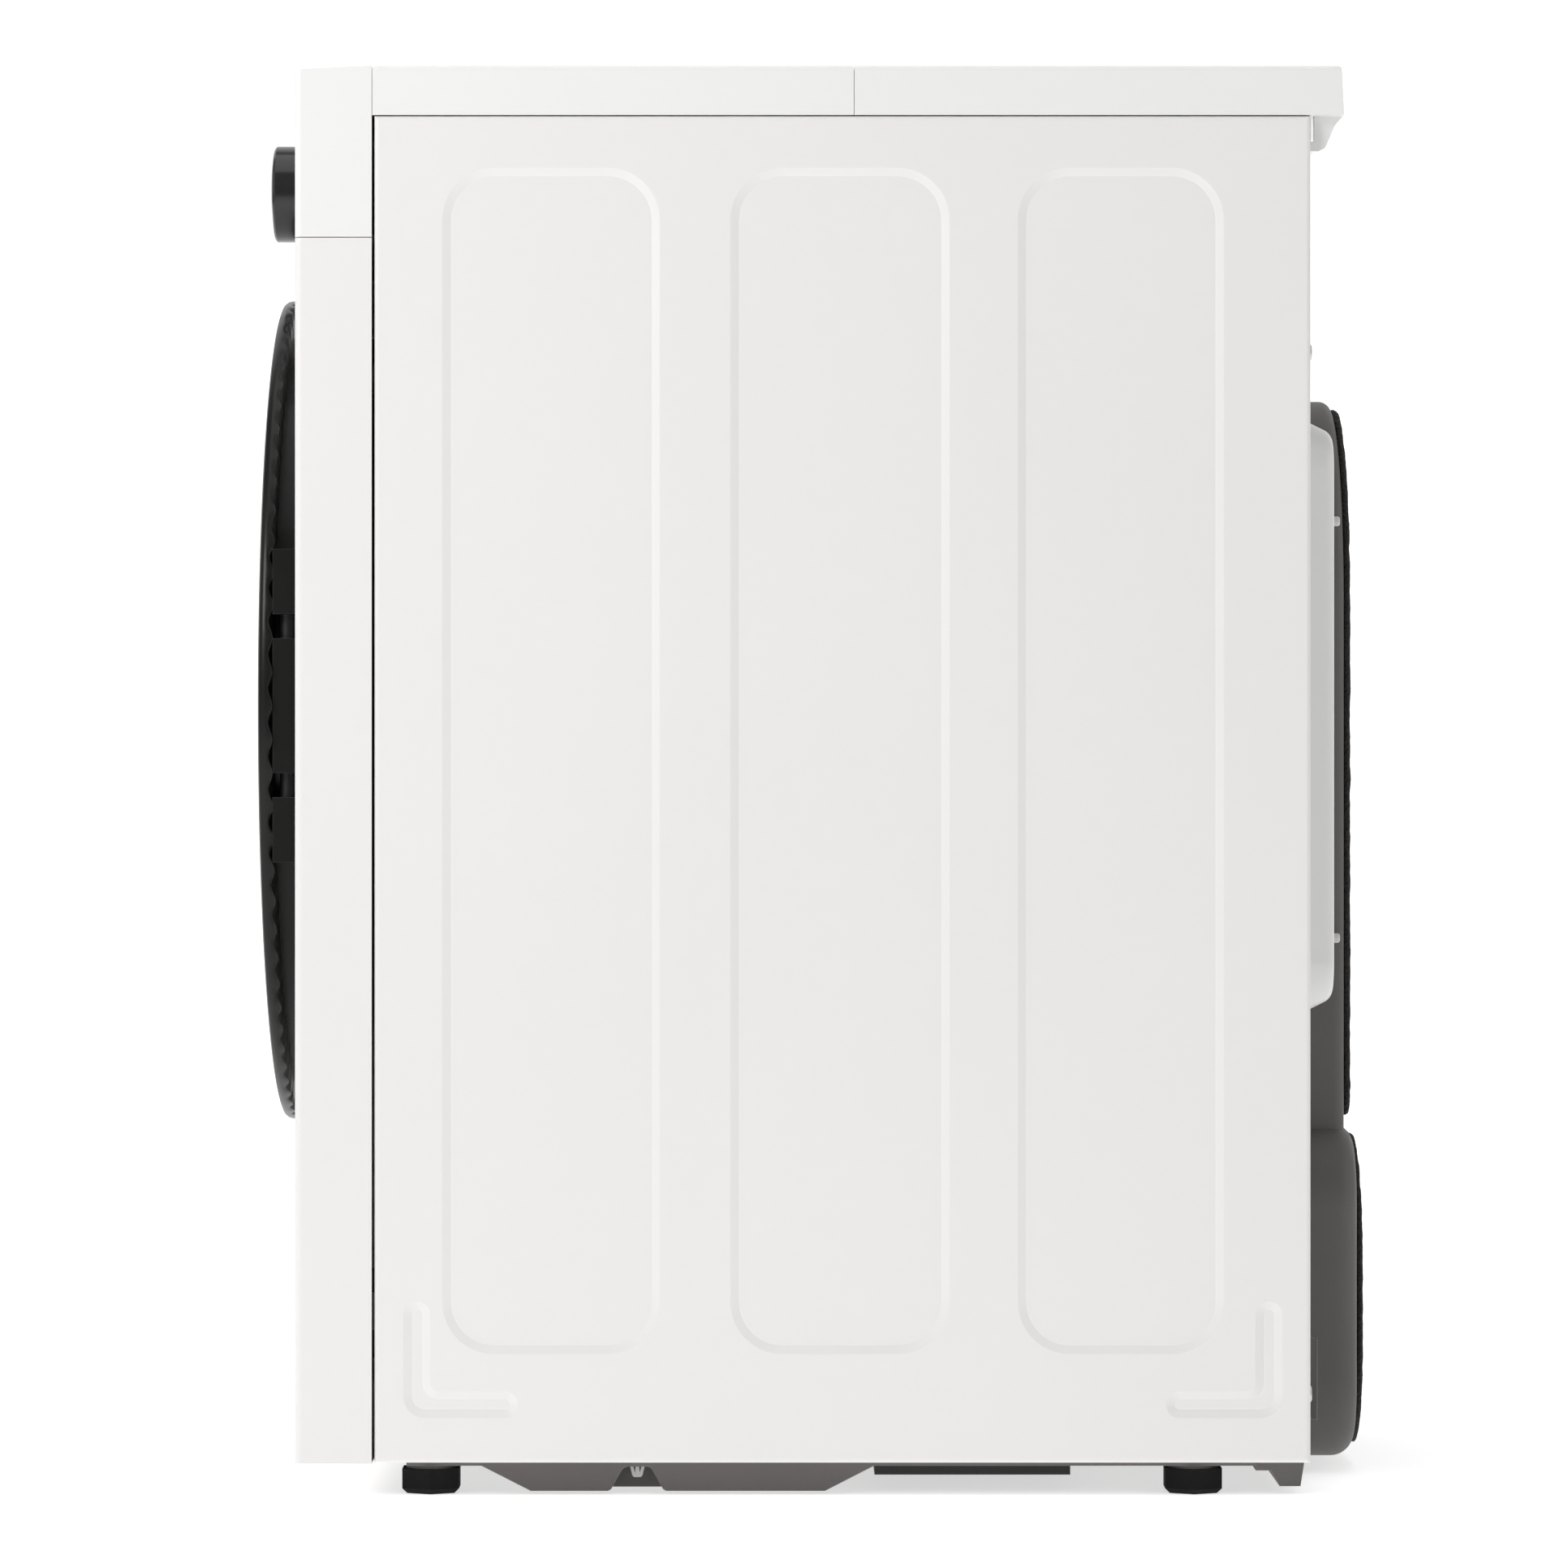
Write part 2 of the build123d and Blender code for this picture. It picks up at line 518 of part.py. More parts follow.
def base_housing():
    """The moulded base: a tray with a sump, foot bosses, side notches and a spring post."""
    front = FRONT_Y + 65
    rear = BACK_Y - 30.5
    shell = block((-BASE_HALF, BASE_HALF), (front, rear), (FLOOR_Z, BASE_TOP))
    shell += slab_x(base_profile(0), -BASE_HALF, BASE_HALF)
    inner = block((-BASE_HALF + BASE_WALL, BASE_HALF - BASE_WALL), (front + BASE_WALL, rear - BASE_WALL),
                  (FLOOR_Z + BASE_WALL, BASE_TOP + 1))
    inner += slab_x(base_profile(BASE_WALL), -BASE_HALF + BASE_WALL, BASE_HALF - BASE_WALL)
    for side in (-1, 1):
        cheek = sorted((side * (BASE_HALF - 30), side * BASE_HALF))
        inner -= block(cheek, (NOTCH_Y - 24, NOTCH_Y + 24), (SUMP_Z, SUMP_Z + 23))
    shell -= inner
    for side in (-1, 1):
        notch = outline((NOTCH_Y - 19, SUMP_Z - 1), (NOTCH_Y - 15.5, SUMP_Z + 1), (NOTCH_Y - 8, NOTCH_TOP),
                        (NOTCH_Y + 8, NOTCH_TOP), (NOTCH_Y + 15.5, SUMP_Z + 1), (NOTCH_Y + 19, SUMP_Z - 1))
        notch = fillet(notch.vertices().sort_by(Axis.Y)[-2:], 5)
        shell -= Pos(BASE_HALF - 25 if side > 0 else -BASE_HALF - 1, 0, 0) * slab_x(notch, 0, 26)
    for x, y in FEET.values():
        shell += rod_z(15, x, y, FOOT_H, 62)
    for x, y in FEET.values():
        shell -= rod_z(STUD_R + FIT, x, y, FOOT_H - 1, 60)
    shell += block((SPRING_POST_X - 4, SPRING_POST_X + 4), (BELT_Y + 13, BELT_Y + 27), (FLOOR_Z + 1, 136))
    return shell


def base_bottom_plate():
    """The thin black pan under the middle of the base."""
    y = (FRONT_Y + 344.5, FRONT_Y + 462)
    pan = block((-250, 250), y, (9.5, FLOOR_Z))
    return pan - block((-248, 248), (y[0] + 2, y[1] - 2), (11.5, FLOOR_Z + 1))


def rear_skid():
    """The moulded skid under the rear edge."""
    rear = BACK_Y - 1.3
    profile = outline((BACK_Y - 30.5, 20.5), (BACK_Y - 30.5, 14), (rear - 20, 14), (rear - 15, 4.6),
                      (rear - 2.5, 4.6), (rear, 20.5))
    return slab_x(profile, -BASE_HALF + 2, BASE_HALF - 2)


def foot(x, y):
    """A levelling foot: a hexagon with a chamfered sole on a threaded stud."""
    sole = Pos(x, y, 0) * extrude(RegularPolygon(FOOT_FLATS / 2, 6, major_radius=False), amount=FOOT_H)
    sole = chamfer(sole.faces().sort_by(Axis.Z)[0].edges(), 3)
    return sole + rod_z(STUD_R, x, y, FOOT_H - 1, 58)


# ---- bulkheads, drum and its supports ----

def filter_box():
    """The outside of the filter duct, up to the mouth tunnel."""
    half = FILTER_HALF + 5
    box = block((-half, half), (BULKHEAD_Y, DRUM_FRONT_Y - 3), (FILTER_BOTTOM - 7.5, DOOR_Z - TUNNEL_R * 0.6))
    return box - rod_y(TUNNEL_R + 3, 0, DOOR_Z, FRONT_Y, DRUM_FRONT_Y + 20)


def filter_space():
    """The room inside the filter duct, open to the tunnel."""
    half = FILTER_HALF + 2
    return block((-half, half), (BULKHEAD_Y + 2, DRUM_FRONT_Y - 5), (FILTER_BOTTOM, DOOR_Z))


def front_bulkhead():
    """The front bulkhead: plate, drum hub, mouth tunnel and posts to the front panel."""
    y = BULKHEAD_Y
    hub_y = DRUM_FRONT_Y + 9
    plate = block((-HALF + PANEL_BEND, HALF - PANEL_BEND), (y, y + 6), (60, PANEL_TOP - 3))
    shell = plate + rod_y(HUB_R, 0, DOOR_Z, y, hub_y)
    shell -= rod_y(HUB_R - 3, 0, DOOR_Z, y - 1, hub_y - 3)
    shell += rod_y(TUNNEL_R + 3, 0, DOOR_Z, FRONT_Y + 14, hub_y)
    shell -= rod_y(TUNNEL_R, 0, DOOR_Z, FRONT_Y, hub_y + 1)
    shell -= filter_box()
    shell -= filter_space()
    for x in (-HALF + 30, HALF - 38):
        for z in (SIDE_BOTTOM + 60, PANEL_TOP - 40):
            shell += block((x, x + 8), (FRONT_Y + SHEET, y), (z, z + 16))
    return shell


def filter_duct():
    """The duct under the mouth that holds the lint filter, with its way out at the bottom."""
    outlet = block((-FILTER_HALF + 10, FILTER_HALF - 10), (BULKHEAD_Y + 6, DRUM_FRONT_Y - 9),
                   (99, FILTER_BOTTOM + 1))
    return filter_box() - filter_space() - outlet


def rear_bulkhead():
    """The rear bulkhead: plate, drum hub and the perforated wall that closes the drum."""
    y = REAR_BULKHEAD_Y
    hub_y = DRUM_BACK_Y - 13
    shell = block((-HALF + SHEET, HALF - SHEET), (y, y + 3), (205, PANEL_TOP - 3))
    shell += rod_y(HUB_R, 0, DOOR_Z, hub_y, y)
    shell -= rod_y(HUB_R - 3, 0, DOOR_Z, hub_y + 3, y + 4)
    for orbit, count in ((55, 8), (100, 14), (145, 20), (190, 26)):
        hole = rod_y(8, 0, 0, hub_y - 1, hub_y + 4)
        shell -= Pos(0, 0, DOOR_Z) * Rot(90, 0, 0) * PolarLocations(orbit, count) * (Rot(-90, 0, 0) * hole)
    for x in (-ROLLER_X, ROLLER_X):
        shell -= rod_y(SHAFT_R, x, ROLLER_Z, y - 1, y + 4)
    return shell


def door_seal():
    """The rubber ring between the tunnel and the closed door."""
    back = FRONT_Y + 14
    front = FRAME_BACK_Y + GAP
    return turned([(MOUTH_R - 15, front), (MOUTH_R - 1.5, front), (MOUTH_R - 1.5, back), (TUNNEL_R - 3, back),
                   (TUNNEL_R - 3, back - 6)], 0, DOOR_Z)


def drum_felts():
    """Felt rings on the two hubs, which the drum's lips run on."""
    return [ring_y(FELT_R, HUB_R, 0, DOOR_Z, y, y + 9) for y in (DRUM_FRONT_Y - 2, DRUM_BACK_Y - 7)]


def drum_shell():
    """The steel drum with a lip turned inwards at each end."""
    lip = DRUM_R - DRUM_LIP
    wall = DRUM_R - DRUM_SHEET
    return turned([(lip, DRUM_FRONT_Y), (DRUM_R, DRUM_FRONT_Y), (DRUM_R, DRUM_BACK_Y), (lip, DRUM_BACK_Y),
                   (lip, DRUM_BACK_Y - DRUM_SHEET), (wall, DRUM_BACK_Y - DRUM_SHEET),
                   (wall, DRUM_FRONT_Y + DRUM_SHEET), (lip, DRUM_FRONT_Y + DRUM_SHEET)], 0, DOOR_Z)


def drum_lifters():
    """Moulded lifters inside the drum."""
    foot_r = DRUM_R - DRUM_SHEET
    crest = foot_r - LIFTER_H
    shape = outline((-32, -foot_r - 1), (32, -foot_r - 1), (32, -foot_r + 14), (9, -crest), (-9, -crest),
                    (-32, -foot_r + 14))
    lifter = slab_y(shape, DRUM_FRONT_Y + 20, DRUM_BACK_Y - 25)
    lifter &= rod_y(foot_r, 0, 0, DRUM_FRONT_Y, DRUM_BACK_Y)
    lifter = fillet(lifter.edges().filter_by(Axis.Y).sort_by(Axis.Z)[-2:], 7)
    turns = [360 * i / LIFTER_COUNT + 180 for i in range(LIFTER_COUNT)]
    return [Pos(0, 0, DOOR_Z) * Rot(0, turn, 0) * lifter for turn in turns]


def roller_shafts():
    """Two pins in the rear bulkhead that the rollers turn on."""
    return [rod_y(SHAFT_R, x, ROLLER_Z, ROLLER_Y - 16, REAR_BULKHEAD_Y + 3) for x in (-ROLLER_X, ROLLER_X)]


def roller(x):
    """A drum roller with a groove each side of its web."""
    half = ROLLER_W / 2
    wheel = ring_y(ROLLER_R, SHAFT_R + FIT, x, ROLLER_Z, ROLLER_Y - half, ROLLER_Y + half)
    groove = ring_y(ROLLER_R - 6, SHAFT_R + 5, x, ROLLER_Z, ROLLER_Y + 3, ROLLER_Y + half)
    return wheel - groove - Pos(0, -half - 3, 0) * groove


# ---- drive ----

def motor_housing():
    """The motor's can on its foot, with the plate and post that carry the idler arm."""
    can = rod_y(MOTOR_R, MOTOR_X, MOTOR_Z, MOTOR_FRONT_Y, MOTOR_BACK_Y)
    floor = FLOOR_Z + BASE_WALL
    can += block((MOTOR_X - 35, MOTOR_X + 35), (MOTOR_FRONT_Y + 10, MOTOR_BACK_Y - 10), (floor, MOTOR_Z))
    can += block((PIVOT_X - 12, PIVOT_X + 12), (MOTOR_FRONT_Y - 7, MOTOR_FRONT_Y + 20), (floor, PIVOT_Z + 13))
    can += rod_y(PIVOT_R, PIVOT_X, PIVOT_Z, MOTOR_FRONT_Y - 14, MOTOR_FRONT_Y)
    return can - rod_y(MOTOR_SHAFT_R + FIT, MOTOR_X, MOTOR_Z, MOTOR_FRONT_Y - 20, MOTOR_BACK_Y + 1)


def motor_shaft():
    """The motor's through shaft with the grooved belt pulley at its front end."""
    shaft = rod_y(MOTOR_SHAFT_R, MOTOR_X, MOTOR_Z, BELT_Y - 9, REAR_SHEET_Y + COVER_LOWER_DEPTH - 7)
    shaft += rod_y(PULLEY_R, MOTOR_X, MOTOR_Z, BELT_Y - 2, BELT_Y + BELT_W + 4)
    return shaft


def blower_wheel():
    """The blower wheel: a back plate, blades and a front ring."""
    front = REAR_SHEET_Y + SHEET + 6
    back = REAR_SHEET_Y + COVER_LOWER_DEPTH - 9
    wheel = rod_y(BLOWER_R, MOTOR_X, MOTOR_Z, back - 3, back)
    wheel += rod_y(14, MOTOR_X, MOTOR_Z, back - 20, back)
    wheel += ring_y(BLOWER_R, BLOWER_R - 18, MOTOR_X, MOTOR_Z, front, front + 2)
    count = 24
    for i in range(count):
        blade = Pos(BLOWER_R - 10, (front + back) / 2, 0) * Rot(0, 30, 0) * Box(18, back - front - 2, 1.6)
        wheel += Pos(MOTOR_X, 0, MOTOR_Z) * Rot(0, 360 * i / count, 0) * blade
    return wheel - rod_y(MOTOR_SHAFT_R, MOTOR_X, MOTOR_Z, front - 1, back + 1)


def drive_belt():
    """The flat belt round the drum, the idler and the motor pulley."""
    def loop(grow):
        circles = [Pos(0, DOOR_Z) * Circle(DRUM_R + grow), Pos(IDLER_X, IDLER_Z) * Circle(IDLER_R + grow),
                   Pos(MOTOR_X, MOTOR_Z) * Circle(PULLEY_R + grow)]
        return make_hull([edge for circle in circles for edge in circle.edges()])

    belt = slab_y(loop(GAP + BELT_THICK), BELT_Y, BELT_Y + BELT_W)
    return belt - slab_y(loop(GAP), BELT_Y - 1, BELT_Y + BELT_W + 1)


def idler_arm():
    """The arm that swings on the motor's post and carries the idler pulley's pin."""
    y = BELT_Y + BELT_W + 4
    length = math.hypot(IDLER_X - PIVOT_X, IDLER_Z - PIVOT_Z)
    tilt = math.degrees(math.atan2(IDLER_X - PIVOT_X, IDLER_Z - PIVOT_Z))
    arm = Pos((PIVOT_X + IDLER_X) / 2, y + 2, (PIVOT_Z + IDLER_Z) / 2) * Rot(0, tilt, 0) * Box(14, 4, length)
    arm += rod_y(11, PIVOT_X, PIVOT_Z, y, y + 4)
    arm += rod_y(9, IDLER_X, IDLER_Z, y, y + 4)
    arm += rod_y(IDLER_PIN_R, IDLER_X, IDLER_Z, BELT_Y - 3, y + 2)
    arm += block((IDLER_X - 12, IDLER_X), (y, y + 4), (IDLER_Z - 24, IDLER_Z - 16))
    return arm - rod_y(PIVOT_R + FIT, PIVOT_X, PIVOT_Z, y - 1, y + 5)


def idler_pulley():
    """The flat idler pulley on the arm's pin."""
    return ring_y(IDLER_R, IDLER_PIN_R + FIT, IDLER_X, IDLER_Z, BELT_Y - 1, BELT_Y + BELT_W + 1)


def tension_spring():
    """The extension spring from the idler arm to the post on the base."""
    y = BELT_Y + BELT_W + 6
    x0 = SPRING_POST_X + 4.8
    x1 = IDLER_X - 12.8
    z = IDLER_Z - 20
    coil = Helix(pitch=2.6, height=x1 - x0, radius=4)
    wire = sweep(Plane(coil @ 0, z_dir=coil % 0) * Circle(0.7), path=coil)
    return Pos(x0, y, z) * Rot(0, 90, 0) * wire


# ---- heat pump ----

def compressor():
    """The compressor's can with a domed top on a base plate."""
    y = FRONT_Y + COMPRESSOR_SETBACK
    can = rod_z(COMPRESSOR_R, COMPRESSOR_X, y, 24, 192)
    can = fillet(can.edges().sort_by(Axis.Z)[-1], 28)
    plate = Pos(COMPRESSOR_X, y, 20) * Rot(0, 0, 180) * extrude(RegularPolygon(88, 3), amount=4)
    plate = fillet(plate.edges().filter_by(Axis.Z), 14)
    return can + plate


def compressor_mounts():
    """Three rubber feet under the compressor's plate."""
    z0 = SUMP_Z + BASE_WALL
    middle = Pos(COMPRESSOR_X, FRONT_Y + COMPRESSOR_SETBACK, 0) * Rot(0, 0, 180)
    return [middle * spot * rod_z(10, 0, 0, z0, 20) for spot in PolarLocations(66, 3)]


def exchanger(y0, y1):
    """A finned block between y0 and y1 with its end plates."""
    z = (SUMP_Z + BASE_WALL, 178)
    x0, x1 = EXCHANGER_X
    core = block((x0 + 3, x1 - 3), (y0 + 3, y1 - 3), (z[0] + 4, z[1] - 4))
    ends = block((x0, x0 + 3), (y0, y1), z) + block((x1 - 3, x1), (y0, y1), z)
    for i in range(30):
        x = x0 + 9 + 6 * i
        core -= block((x, x + 3), (y0 + 2, y0 + 14), (z[0], z[1] + 1))
    return core + ends


def heat_exchangers():
    """The cold exchanger, nearer the front, and the hot one behind it."""
    return [exchanger(FRONT_Y + 145, FRONT_Y + 218), exchanger(FRONT_Y + 224, FRONT_Y + 304)]


def tube(points, bend, radius=4.0):
    """A copper tube along straight runs joined by bends."""
    path = FilletPolyline(*points, radius=bend)
    return sweep(Plane(path @ 0, z_dir=path % 0) * Circle(radius), path=path)


def refrigerant_pipes():
    """The suction, hot-gas and liquid lines, the last with its drier."""
    x = EXCHANGER_X[1]
    y = FRONT_Y + COMPRESSOR_SETBACK
    front = y - 66
    rear = y + 64
    near = COMPRESSOR_X - COMPRESSOR_R
    suction = tube([(x, front, 150), (x + 75, front, 150), (x + 75, y, 150), (near + 1, y, 150)], 16)
    hot_gas = tube([(x, rear + 8, 150), (near, rear + 8, 150), (COMPRESSOR_X, rear + 8, 120),
                    (COMPRESSOR_X, y + COMPRESSOR_R - 1, 120)], 4.4)
    liquid = tube([(x, rear, 60), (x + 30, rear, 60), (x + 30, front, 60), (x, front, 60)], 12)
    drier = Pos(x + 30, y, 60) * Rot(90, 0, 0) * Cylinder(11, 60)
    drier = chamfer(drier.edges().filter_by(GeomType.CIRCLE), 3)
    can = rod_z(COMPRESSOR_R, COMPRESSOR_X, y, 24, 192)
    return [suction - can, hot_gas - can, liquid + drier]


def drain_pump():
    """The pump that lifts the water to the tank."""
    z0 = SUMP_Z + BASE_WALL
    y = FRONT_Y + 174
    pump = rod_z(24, 60, y, z0, z0 + 22) + rod_z(17, 60, y, z0 + 22, z0 + 58)
    return pump + Pos(60, y + 30, z0 + 12) * Rot(90, 0, 0) * Cylinder(5, 24)


# ---- door ----

def door_ring():
    """The door's outer ring with its rounded front edge."""
    ring = turned([(RING_HOLE_R, RING_FRONT_Y), (RING_R, RING_FRONT_Y), (RING_R, RING_BACK_Y),
                   (RING_HOLE_R, RING_BACK_Y)], 0, DOOR_Z)
    front = ring.faces().sort_by(Axis.Y)[0].edges()
    return fillet(front.sort_by(lambda edge: edge.length)[-1], RING_EDGE_R)


def door_pane():
    """The tinted pane in the ring."""
    return rod_y(RING_HOLE_R, 0, DOOR_Z, RING_FRONT_Y + 1.5, RING_FRONT_Y + 5.5)


def hinge_blocks():
    """Heights (low, high) of the three hinge blocks on the door."""
    low = MIDDLE_BLOCK / 2 + BLOCK_GAP
    return [(-low - END_BLOCK, -low), (-MIDDLE_BLOCK / 2, MIDDLE_BLOCK / 2), (low, low + END_BLOCK)]


def door_frame():
    """The door's frame: a shallow dish with three hinge blocks and the latch hook."""
    wall = DOOR_FRAME_R - DOOR_WALL
    inner = BOWL_R + 2.0
    frame = turned([(wall, RING_BACK_Y), (DOOR_FRAME_R, RING_BACK_Y), (DOOR_FRAME_R, FRAME_BACK_Y),
                    (inner, FRAME_BACK_Y), (inner, FRAME_BACK_Y - DOOR_WALL),
                    (wall, FRAME_BACK_Y - DOOR_WALL)], 0, DOOR_Z)
    for low, high in hinge_blocks():
        frame += block((DOOR_SWING_X - 31, DOOR_SWING_X + 13), (RING_BACK_Y, FRONT_Y - 1),
                       (DOOR_Z + low, DOOR_Z + high))
        frame -= rod_z(PIN_R, DOOR_SWING_X, HINGE_Y, DOOR_Z + low - 1, DOOR_Z + high + 1)
    x = LATCH_X
    hook = outline((x - 3, FRAME_BACK_Y - 1), (x + 3, FRAME_BACK_Y - 1), (x + 3, FRONT_Y + 24),
                   (x - 5, FRONT_Y + 24), (x - 5, FRONT_Y + 18), (x - 3, FRONT_Y + 16))
    return frame + Pos(0, 0, DOOR_Z - 9) * extrude(hook, amount=18)


def door_bowl():
    """The clear bowl that reaches into the mouth."""
    front = FRAME_BACK_Y - DOOR_WALL
    back = FRAME_BACK_Y + BOWL_DEPTH - DOOR_WALL
    rim = BOWL_R + 12
    return turned([(0, back), (0, back - 3), (BOWL_R - 19, back - 3), (BOWL_R - 9, back - 12),
                   (BOWL_R - 3, front - 3), (rim, front - 3), (rim, front), (BOWL_R, front),
                   (BOWL_R - 6, back - 11), (BOWL_R - 17, back)], 0, DOOR_Z)


def hinge_pins():
    """The pin that runs through the door's blocks and the bracket's knuckles."""
    reach = hinge_blocks()[-1][1]
    return rod_z(PIN_R, DOOR_SWING_X, HINGE_Y, DOOR_Z - reach, DOOR_Z + reach)


def hinge_bracket():
    """The steel bracket in the pocket with its two curved arms and knuckles."""
    reach = (-20.0, DOOR_SWING_Y + POCKET_DEPTH - 2)
    bracket = block((DOOR_SWING_X - 27, DOOR_SWING_X - 7), (POCKET_Y - 2, POCKET_Y),
                    (DOOR_Z - 60, DOOR_Z + 60))
    turn = math.degrees(math.atan2(reach[1], reach[0]))
    for z in (DOOR_Z - HINGE_SPACING, DOOR_Z + HINGE_SPACING):
        spot = Pos(DOOR_SWING_X + reach[0] / 2, HINGE_Y + reach[1] / 2, z)
        bracket += spot * Rot(0, 0, turn) * Box(math.hypot(*reach), 4, KNUCKLE_H)
        bracket += rod_z(KNUCKLE_R, DOOR_SWING_X, HINGE_Y, z - KNUCKLE_H / 2, z + KNUCKLE_H / 2)
    return bracket - rod_z(PIN_R + FIT, DOOR_SWING_X, HINGE_Y, DOOR_Z - 80, DOOR_Z + 80)


def door_latch():
    """The latch behind the front panel, slotted for the door's hook."""
    latch = block((LATCH_X - 16, LATCH_X + 14), (FRONT_Y + SHEET, FRONT_Y + 32), (DOOR_Z - 26, DOOR_Z + 26))
    return latch - block((LATCH_X - 9, LATCH_X + 7), (FRONT_Y, FRONT_Y + 28), (DOOR_Z - 14, DOOR_Z + 14))


# ---- controls, water tank and filter ----

def knob_body():
    """The knob's black skirt on its spindle."""
    front = FRONT_Y - KNOB_DEPTH
    body = rod_y(KNOB_R, 0, KNOB_Z, front + 2, FRONT_Y - 1)
    body = chamfer(body.edges().filter_by(GeomType.CIRCLE), 1.2)
    body -= rod_y(KNOB_R - 3, 0, KNOB_Z, front + 8, FRONT_Y)
    body -= rod_y(KNOB_R - 2.5, 0, KNOB_Z, front, front + 4)
    return body + rod_y(3, 0, KNOB_Z, front + 5, FRONT_Y + 16)


def knob_cap():
    """The silver cap let into the front of the knob."""
    front = FRONT_Y - KNOB_DEPTH
    cap = rod_y(KNOB_R - 2.5, 0, KNOB_Z, front, front + 4)
    return fillet(cap.edges().filter_by(GeomType.CIRCLE).sort_by(Axis.Y)[0], 1.5)


def button(x):
    """A round push button with a stop flange behind the control panel."""
    cap = rod_y(BUTTON_R, x, KNOB_Z, FRONT_Y - 2, FRONT_Y + 7)
    cap = fillet(cap.edges().filter_by(GeomType.CIRCLE).sort_by(Axis.Y)[0], 1)
    return cap + rod_y(BUTTON_R + 2, x, KNOB_Z, FRONT_Y + FASCIA_WALL, FRONT_Y + FASCIA_WALL + 2)


def water_tank():
    """The water tank, a flat box with a filling hole near its rear end."""
    y0 = FRONT_Y + 6
    tank = block(TANK_X, (y0, y0 + TANK_DEPTH), TANK_Z)
    tank = fillet(tank.edges().filter_by(Axis.Y), 8)
    wall = TANK_WALL
    inner = block((TANK_X[0] + wall, TANK_X[1] - wall), (y0 + wall, y0 + TANK_DEPTH - wall),
                  (TANK_Z[0] + wall, TANK_Z[1] - wall))
    inner = fillet(inner.edges().filter_by(Axis.Y), 6)
    middle = (TANK_X[0] + TANK_X[1]) / 2
    return tank - inner - rod_z(12, middle, y0 + TANK_DEPTH - 40, TANK_Z[1] - 5, TANK_Z[1] + 1)


def tank_front():
    """The tank's front in the control panel, with its grip hollow."""
    x0, x1, z0, z1 = DRAWER_FRONT
    plate = block((x0, x1), (FRONT_Y, FRONT_Y + 6), (z0, z1))
    plate = chamfer(plate.edges().group_by(Axis.Y)[0], 0.8)
    middle = (x0 + x1) / 2
    plate += block((middle - 48, middle + 48), (FRONT_Y + 6, FRONT_Y + 6.0 + 20), (z1 - 27, z1 - 3))
    return plate - block((middle - 45, middle + 45), (FRONT_Y - 1, FRONT_Y + 23), (z1 - 24, z1 - 6))


def tank_housing():
    """The tray that the tank slides in, fixed to the left side panel."""
    y = (SIDE_FRONT_Y + 5, FRONT_Y + 6 + TANK_DEPTH + 8)
    outer = block((TANK_X[0] - 5, TANK_X[1] + 5), y, (TANK_Z[0] - 3.2, TANK_Z[1] + 2))
    tray = outer - block((TANK_X[0] - 3, TANK_X[1] + 3), (y[0] - 1, y[1] - 3),
                         (TANK_Z[0] - GAP, TANK_Z[1] + 3))
    return tray + block((-HALF + SHEET, TANK_X[0] - 4), y, (TANK_Z[1], TANK_Z[1] + 2))


def lint_filter():
    """The lint filter's flat case, open on top, with a grip."""
    y = (BULKHEAD_Y + 4, DRUM_FRONT_Y - 7)
    top = FILTER_TOP
    case = block((-FILTER_HALF, FILTER_HALF), y, (FILTER_BOTTOM, top))
    case -= block((-FILTER_HALF + 3, FILTER_HALF - 3), (y[0] + 2, y[1] - 2), (FILTER_BOTTOM + 2.5, top + 1))
    grip = block((-35, 35), (y[0], y[0] + 2), (top - 1, top + 16))
    return case + fillet(grip.edges().filter_by(Axis.Y).sort_by(Axis.Z)[-2:], 8)


